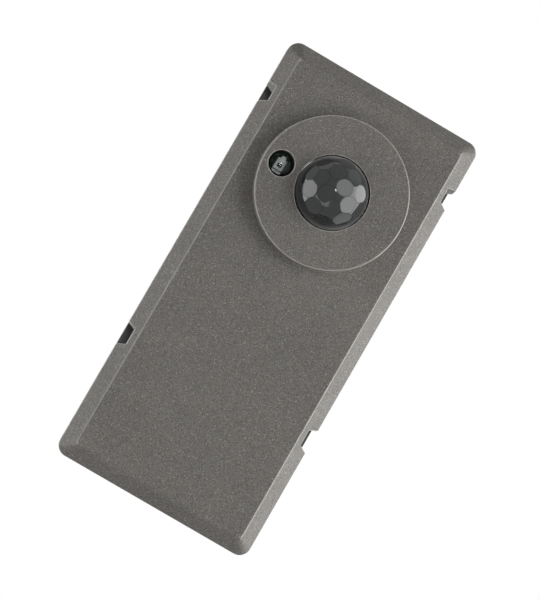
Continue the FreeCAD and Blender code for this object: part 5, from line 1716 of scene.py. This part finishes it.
@dataclass
class Terminals:
    """The terminal block with its clamps, screws and contact bars."""

    poles: int = 4
    pitch: float = 5.0
    groove: float = 0.35
    groove_mouth: float = 0.25
    groove_root: float = 0.12
    head_height: float = 1.5
    thread: float = 0.45
    thread_depth: float = 0.13
    thread_rows: int = 8
    shank: float = 1.2
    shank_steps: int = 32

    def build(self) -> None:
        """Make every piece."""
        box = Extent.of("terminal_block")
        piece = Piece.copy_of("terminal_block", "terminal_housing")
        for index in range(1, self.poles):
            x = (index - self.poles / 2) * self.pitch
            piece.take(Form().bar(self.cutter(x, box.back), box.low - 1, box.high - 0.4))
            piece.take(Form().prism(self.cutter(x, box.low), box.back - 1, box.front - 1.2))
        piece.soften(0.1).finish("terminal_grey")
        soften_node("contact_bars", "contact_strips", "tinned_metal", width=0.06)
        for pole in range(1, self.poles + 1):
            soften_node(f"cage_clamp_{pole}", f"clamp_cage_{pole}", "clamp_steel", width=0.1, body=f"clamp_{pole}")
            self.build_screw(pole)

    def cutter(self, x: float, face: float) -> list[Spot]:
        """The section of a groove between poles, cut into a face."""
        return [(x - self.groove_mouth, face - 1), (x + self.groove_mouth, face - 1),
                (x + self.groove_root, face + self.groove), (x - self.groove_root, face + self.groove)]

    def build_screw(self, pole: int) -> None:
        """One clamp screw: threaded shank and a head with slot and cross.

        Args:
            pole: the number of its pole, from one.
        """
        box = Extent.of(f"clamp_screw_{pole}")
        x, level = centre = (box.middle_x, (box.back + box.front) / 2)

        def row(z: float, reaches: Sequence[float]) -> Ring:
            """A row of points round the screw at a height."""
            return [(x + reach * math.cos(turn), level + reach * math.sin(turn), z)
                    for reach, turn in zip(reaches, turns(len(reaches)))]

        head_top = box.low + self.head_height
        rows = []
        z = head_top - 0.3
        while z < box.high - 0.35:
            phases = [(z / self.thread - step / self.shank_steps) % 1.0 for step in range(self.shank_steps)]
            rows.append(row(z, [self.shank - self.thread_depth * abs(2 * phase - 1) for phase in phases]))
            z += self.thread / self.thread_rows
        rows += [row(box.high - drop, [self.shank - inset] * self.shank_steps)
                 for drop, inset in ((0.3, 0.15), (0, 0.4))]
        piece = Piece(f"screw_{pole}_solid", Form().skin(rows), f"clamp_screw_{pole}")
        head = ((box.low, 0.25), (box.low + 0.07, 0.1), (box.low + 0.22, 0), (head_top - 0.08, 0), (head_top, 0.08))
        piece.join(Form().skin([row(z, [box.radius - inset] * 64) for z, inset in head]))
        for wide, deep, depth in ((2 * box.radius, 0.25, 0.7), (0.22, 0.95, 0.62)):
            piece.take(Form().bar(oblong(*about(*centre, wide, deep)), box.low - 1, box.low + depth))
        piece.soften(0.03, 50.0, 1).finish("screw_steel", f"screw_{pole}")


@dataclass
class PowerBoard:
    """The mains board with its parts, their leads and solder joints."""

    board: Extent = extent_of("power_board")
    joints: Form = field(default_factory=Form)
    wire: float = 0.38
    turns_of_wire: int = 8
    wire_steps: int = 28

    def build(self) -> None:
        """Make every piece."""
        dress_node("power_board", "board_green")
        self.build_film_capacitor()
        self.build_choke()
        self.build_electrolytic()
        self.build_varistor()
        self.build_fuse()
        self.build_rectifier()
        self.build_switches()
        for x in spread_out(4, 5.0):
            self.joints.solder((x, -15.8), self.board.front, height=0.75, radius=1.0)
        for x in spread_out(6, 2.0):
            self.joints.solder((x, 18.4), self.board.back, height=-0.6)
        Piece("board_solder", self.joints).finish("solder", slot="tinned_metal", spread=50.0)

    def build_film_capacitor(self) -> None:
        """The boxed film capacitor with its potted base."""
        box = Extent.of("film_capacitor")
        field_plan = rounded(box.left + 0.6, box.right - 0.6, box.low + 0.5, box.high - 0.5, 0.3)
        piece = Piece.copy_of("film_capacitor", "film_capacitor_box")
        piece.take(Form().prism(field_plan, box.front - 0.4, box.front + 1))
        piece.soften(0.12, segments=3).finish("film_yellow")
        fill = Form().prism(field_plan, box.front - 0.42, box.front - 0.3)
        Piece("film_capacitor_potting", fill).finish("potting", slot="film_yellow")
        self.front_leads("film_capacitor_leads", (0, box.middle_z), across=5.0, start=box.front - 0.4, radius=0.3)

    def build_choke(self) -> None:
        """The drum core, wound with enamelled wire."""
        soften_node("choke_core", "choke_drum", "ferrite", width=0.12)
        box = Extent.of("choke_winding")
        x, z = box.middle
        radius = box.radius - self.wire
        pitch = (box.front - box.back - 2 * self.wire) / self.turns_of_wire
        path = []
        for step in range(self.turns_of_wire * self.wire_steps + 1):
            turned = step / self.wire_steps
            turn = 2 * math.pi * turned
            path.append((x + radius * math.cos(turn), box.back + self.wire + pitch * turned,
                         z + radius * math.sin(turn)))
        winding = Form().tube(path, min(self.wire, pitch / 2), 10)
        hub, core = radius - 0.05, radius - 0.5
        winding.lathe(((core, box.back + 0.2), (hub, box.back + 0.2), (hub, box.front - 0.2),
                       (core, box.front - 0.2)), box.middle, 64)
        Piece("choke_wire", winding, "choke_winding").finish("enamelled_copper", spread=50.0)
        drum = Extent.of("choke_core")
        self.front_leads("choke_pins", (x, drum.low + 0.9), across=3.4, start=drum.front - 0.2, radius=0.32)

    def front_leads(self, name: str, middle: Spot, across: float, start: float, radius: float) -> None:
        """Two wires from a part on the rear of the board to joints on its front.

        Args:
            name: the piece's name.
            middle: the x and z half way between the wires.
            across: each wire's distance from it.
            start: the level at which the wires leave the part.
            radius: the wires' radius.
        """
        wires = Form()
        for side in SIDES:
            spot = (middle[0] + side * across, middle[1])
            wires.wire(spot, start, self.board.front + 0.6, radius)
            self.joints.solder(spot, self.board.front, height=0.8)
        Piece(name, wires).finish("tinned_metal")

    def through_leads(self, name: str, box: Extent, across: float) -> None:
        """Two wires of a part on the front, through the board, with their joints on the rear.

        Args:
            name: the piece's name.
            box: the part's extent.
            across: each wire's distance from the part's middle.
        """
        wires = Form()
        for side in SIDES:
            spot = (box.middle_x + side * across, box.middle_z)
            wires.wire(spot, box.back, self.board.back - 0.5, radius=0.27, steps=10)
            self.joints.solder(spot, self.board.back, height=-0.65, radius=0.7)
        Piece(name, wires).finish("tinned_metal")

    def build_electrolytic(self) -> None:
        """The sleeved can with its bead, bare top and vent cross."""
        box = Extent.of("electrolytic_capacitor")
        radius, base, top = box.radius, box.back, box.front
        # Distances in from the side and up from the base
        lower = ((0.5, 0), (0.15, 0.12), (0, 0.35), (0, 0.9), (0.12, 1.1), (0.28, 1.3), (0.28, 1.5), (0.12, 1.7),
                 (0, 1.95))
        # Distances in from the side and down from the top
        upper = ((0, 0.35), (0.1, 0.1), (0.45, 0), (0.75, 0.02), (0.75, 0.12))
        sleeve = ((0, base), *((radius - inward, base + up) for inward, up in lower),
                  *((radius - inward, top - down) for inward, down in upper), (0, top - 0.12))
        form = Form().lathe(sleeve, box.middle, 72)
        Piece("capacitor_sleeve", form, "electrolytic_capacitor").finish("capacitor_sleeve")
        plate = radius - 0.77
        profile = ((0, top - 0.14), (plate, top - 0.14), (plate, top - 0.05), (plate - 0.08, top - 0.02),
                   (0, top - 0.02))
        lid = Piece("capacitor_top", Form().lathe(profile, box.middle, 48))
        for wide, high in ((radius - 1.2, 0.09), (0.09, radius - 1.2)):
            lid.take(Form().prism(oblong(*about(*box.middle, wide, high)), top - 0.07, top + 1))
        lid.soften(0.015, segments=1).finish("spreader_aluminium", slot="capacitor_sleeve")
        self.through_leads("capacitor_leads", box, across=1.25)

    def build_varistor(self) -> None:
        """The dipped disc with the joints of its leads."""
        soften_node("varistor", "varistor_disc", "varistor_blue", width=0.25, segments=3)
        box = Extent.of("varistor")
        for side in SIDES:
            spot = (box.middle_x + side * 2.5, box.middle_z)
            self.joints.solder(spot, self.board.back, height=-0.65)

    def build_fuse(self) -> None:
        """The round fuse with its lid and leads."""
        box = Extent.of("fuse")
        radius, base, top = box.radius, box.back, box.front
        upper = ((0, 0.3), (0.09, 0.09), (0.3, 0), (1.1, 0), (1.15, 0.12), (1.35, 0.12), (1.4, 0))
        profile = ((0, base), (radius - 0.3, base), (radius - 0.2, base + 0.1), (radius - 0.2, base + 1.5),
                   (radius, base + 1.6), *((radius - inward, top - down) for inward, down in upper), (0, top))
        Piece("fuse_cap", Form().lathe(profile, box.middle, 72), "fuse").finish("chip_black")
        self.through_leads("fuse_leads", box, across=2.5)

    def build_rectifier(self) -> None:
        """The bridge rectifier with four leads."""
        box = Extent.of("bridge_rectifier")
        corner = ((box.left - 1, box.high + 1), (box.left - 1, box.high - 0.9), (box.left + 0.5, box.high + 1))
        piece = Piece.copy_of("bridge_rectifier", "rectifier_package")
        piece.take(Form().prism(corner, box.back - 1, box.front + 1)).soften(0.08).finish("chip_black")
        leads = Form()
        for side in SIDES:
            for shift in (-1.27, 1.27):
                leads.lead((box.edge(side), box.middle_z + shift), (side, 0), self.board.front, box.back + 0.9,
                           width=0.7, reach=1.1)
        Piece("rectifier_leads", leads).soften(0.02, segments=1).finish("tinned_metal")

    def build_switches(self) -> None:
        """The two power transistors and their cooling plate."""
        soften_node("power_transistors", "transistor_packages", "chip_black", width=0.1)
        box, front = Extent.of("power_transistors"), self.board.front
        tabs, leads = Form(), Form()
        for side in SIDES:
            x = side * (box.right - 3.25)
            tabs.prism(rounded(x - 2.6, x + 2.6, box.high - 0.3, box.high + 1.1, 0.25, 3), front, front + 0.5)
            for shift in (-2.28, 2.28):
                leads.lead((x + shift, box.low), (0, -1), front, front + 0.9, width=0.75, reach=1.5)
        Piece("transistor_tabs", tabs).soften(0.05, segments=1).finish("tinned_metal")
        Piece("transistor_leads", leads).soften(0.03, segments=1).finish("tinned_metal")
        soften_node("heat_spreader", "cooling_plate", "spreader_aluminium", width=0.12, segments=3)


@dataclass(frozen=True)
class Softbox:
    """A soft white light: its turn to the right of the front, its rise and its size, in degrees."""

    name: str
    turn: float
    rise: float
    width: float
    height: float
    radiance: float
    distance: float = 0.6

    def hang(self) -> None:
        """Make the light, facing the part."""
        data = bpy.data.lights.new(self.name, "AREA")
        data.shape = "RECTANGLE"
        data.size = 2 * self.distance * math.tan(math.radians(self.width / 2))
        data.size_y = 2 * self.distance * math.tan(math.radians(self.height / 2))
        data.energy = self.radiance * math.pi * data.size * data.size_y
        item = put_in_scene(self.name, data)
        turn, rise = math.radians(self.turn), math.radians(self.rise)
        outward = Vector((math.sin(turn) * math.cos(rise), -math.cos(turn) * math.cos(rise), math.sin(rise)))
        item.location = outward * self.distance
        item.rotation_euler = outward.to_track_quat("Z", "Y").to_euler()
        item.visible_camera = False


@dataclass
class Studio:
    """Camera, lights, white surroundings and floor."""

    # Camera: millimetres and degrees
    target: tuple[float, float, float] = (0.0, -5.4, 0.0)
    distance: float = 310.0
    turned_left: float = 3.843
    turned_down: float = 4.604
    roll: float = -30.057
    lens: float = 181.2
    nudge_right: float = 0.088
    nudge_up: float = -0.197
    # Surroundings: the floor's sizes are metres
    ambient: float = 0.055
    floor_half: float = 3.0
    floor_dark: Colour = (0.86, 0.86, 0.86)
    floor_light: Colour = (0.9, 0.9, 0.9)
    near: float = 0.08
    far: float = 0.3
    shown_near: float = 0.55
    softboxes: tuple[Softbox, ...] = (
        Softbox("right_box", 72, 13, 64, 62, 4.9),
        Softbox("far_right_box", 118, -2, 22, 40, 3.0),
        Softbox("low_right_box", 108, -42, 40, 30, 0.9),
        Softbox("left_box", -95, -17, 54, 56, 3.9),
        Softbox("far_left_box", -128, 18, 22, 26, 0.8),
        Softbox("front_box", 27, 28, 17, 17, 3.2),
        Softbox("low_box", -16, -41, 56, 24, 1.9),
        Softbox("glint", 1.5, 6.5, 6, 11, 17.0),
        Softbox("back_box", 180, 15, 60, 50, 1.0),
    )

    def build(self) -> None:
        """Set up everything round the part."""
        self.set_camera()
        self.set_world()
        self.lay_floor()
        for softbox in self.softboxes:
            softbox.hang()

    def set_camera(self) -> None:
        """Place the camera at the photograph's angle."""
        yaw, pitch, roll = (math.radians(turn) for turn in (self.turned_left, self.turned_down, self.roll))
        back = Vector((-math.sin(yaw) * math.cos(pitch), -math.cos(yaw) * math.cos(pitch), -math.sin(pitch)))
        level_right = (-back).cross(Vector((0, 0, 1))).normalized()
        level_up = level_right.cross(-back)
        right = math.cos(roll) * level_right - math.sin(roll) * level_up
        up = math.sin(roll) * level_right + math.cos(roll) * level_up
        data = bpy.data.cameras.new("camera")
        data.lens = self.lens
        data.clip_start = 0.01
        data.clip_end = 20.0
        item = put_in_scene("camera", data)
        place = Vector(self.target) + back * self.distance + right * self.nudge_right + up * self.nudge_up
        turn = Matrix((right, up, back)).transposed()
        item.matrix_world = Matrix.Translation(place * MM) @ turn.to_4x4()
        bpy.context.scene.camera = item

    def set_world(self) -> None:
        """White surroundings for the eye and for reflections, plain grey light for the rest."""
        world = bpy.data.worlds.new("studio")
        world.use_nodes = True
        bpy.context.scene.world = world
        bench = Bench(world.node_tree)
        shown = bench.nodes["Background"]
        bench.feed(shown.inputs["Color"], WHITE)
        bench.feed(shown.inputs["Strength"], 1.0)
        plain = bench.add("Background", {"Color": WHITE, "Strength": self.ambient})
        path = bench.add("LightPath").outputs
        seen = bench.most(path["Is Camera Ray"], path["Is Glossy Ray"], path["Is Transmission Ray"])
        mixed = bench.add("MixShader", {0: seen, 1: plain.outputs[0], 2: shown.outputs[0]})
        bench.feed(bench.nodes["World Output"].inputs["Surface"], mixed.outputs[0])

    def lay_floor(self) -> None:
        """A pale floor that shows from above only and keeps the part's shadow."""
        half, low = self.floor_half / MM, Extent.of("front_cover").low - 0.1
        form = Form()
        form.mesh.faces.new([form.mesh.verts.new((x, depth, low)) for x, depth in oblong(-half, half, -half, half)])
        item = form.object("floor")
        item.data.transform(Matrix.Scale(MM, 4))
        paint = Paint("floor_pale")
        mottle = paint.effect(Effect.MOTTLE, size=40.0)
        paint.give({"Base Color": paint.tint(mottle.outputs["Tone"], self.floor_dark, self.floor_light),
                    "Roughness": 0.9, "Specular IOR Level": 0.0})
        bright = paint.add("Emission", {"Color": WHITE, "Strength": 1.0})
        path = paint.add("LightPath").outputs
        place = paint.add("TexCoord").outputs["Object"]
        away = paint.add("VectorMath", {0: place}, operation="LENGTH").outputs["Value"]
        seen = paint.math("MULTIPLY", paint.most(path["Is Camera Ray"], path["Is Transmission Ray"]),
                          paint.span(away, self.near, self.far, self.shown_near, 1.0))
        lit = paint.add("MixShader", {0: seen, 1: paint.shader.outputs[0], 2: bright.outputs[0]})
        clear = paint.add("BsdfTransparent")
        below = paint.add("NewGeometry").outputs["Backfacing"]
        through = paint.most(below, path["Is Diffuse Ray"], path["Is Shadow Ray"], path["Is Glossy Ray"])
        both = paint.add("MixShader", {0: through, 1: lit.outputs[0], 2: clear.outputs[0]})
        paint.feed(paint.nodes["Material Output"].inputs["Surface"], both.outputs[0])
        item.data.materials.append(paint.material)


def main() -> None:
    """Build the studio and every sub-assembly."""
    logging.basicConfig(level=logging.INFO, format="%(name)s: %(message)s")
    bpy.context.scene.view_settings.view_transform = "Standard"
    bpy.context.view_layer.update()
    Studio().build()
    for part in (Cover(), SensorDome(), LightSensor(), Carrier(), TouchPlate(),
                 Trimmer("time", Body.TIME_DIAL), Trimmer("lux", Body.LUX_DIAL), LearnSwitch(),
                 PresenceSensor(), FrontBoard(), RearHousing(), Terminals(), PowerBoard()):
        part.build()


if __name__ == "__main__":
    main()
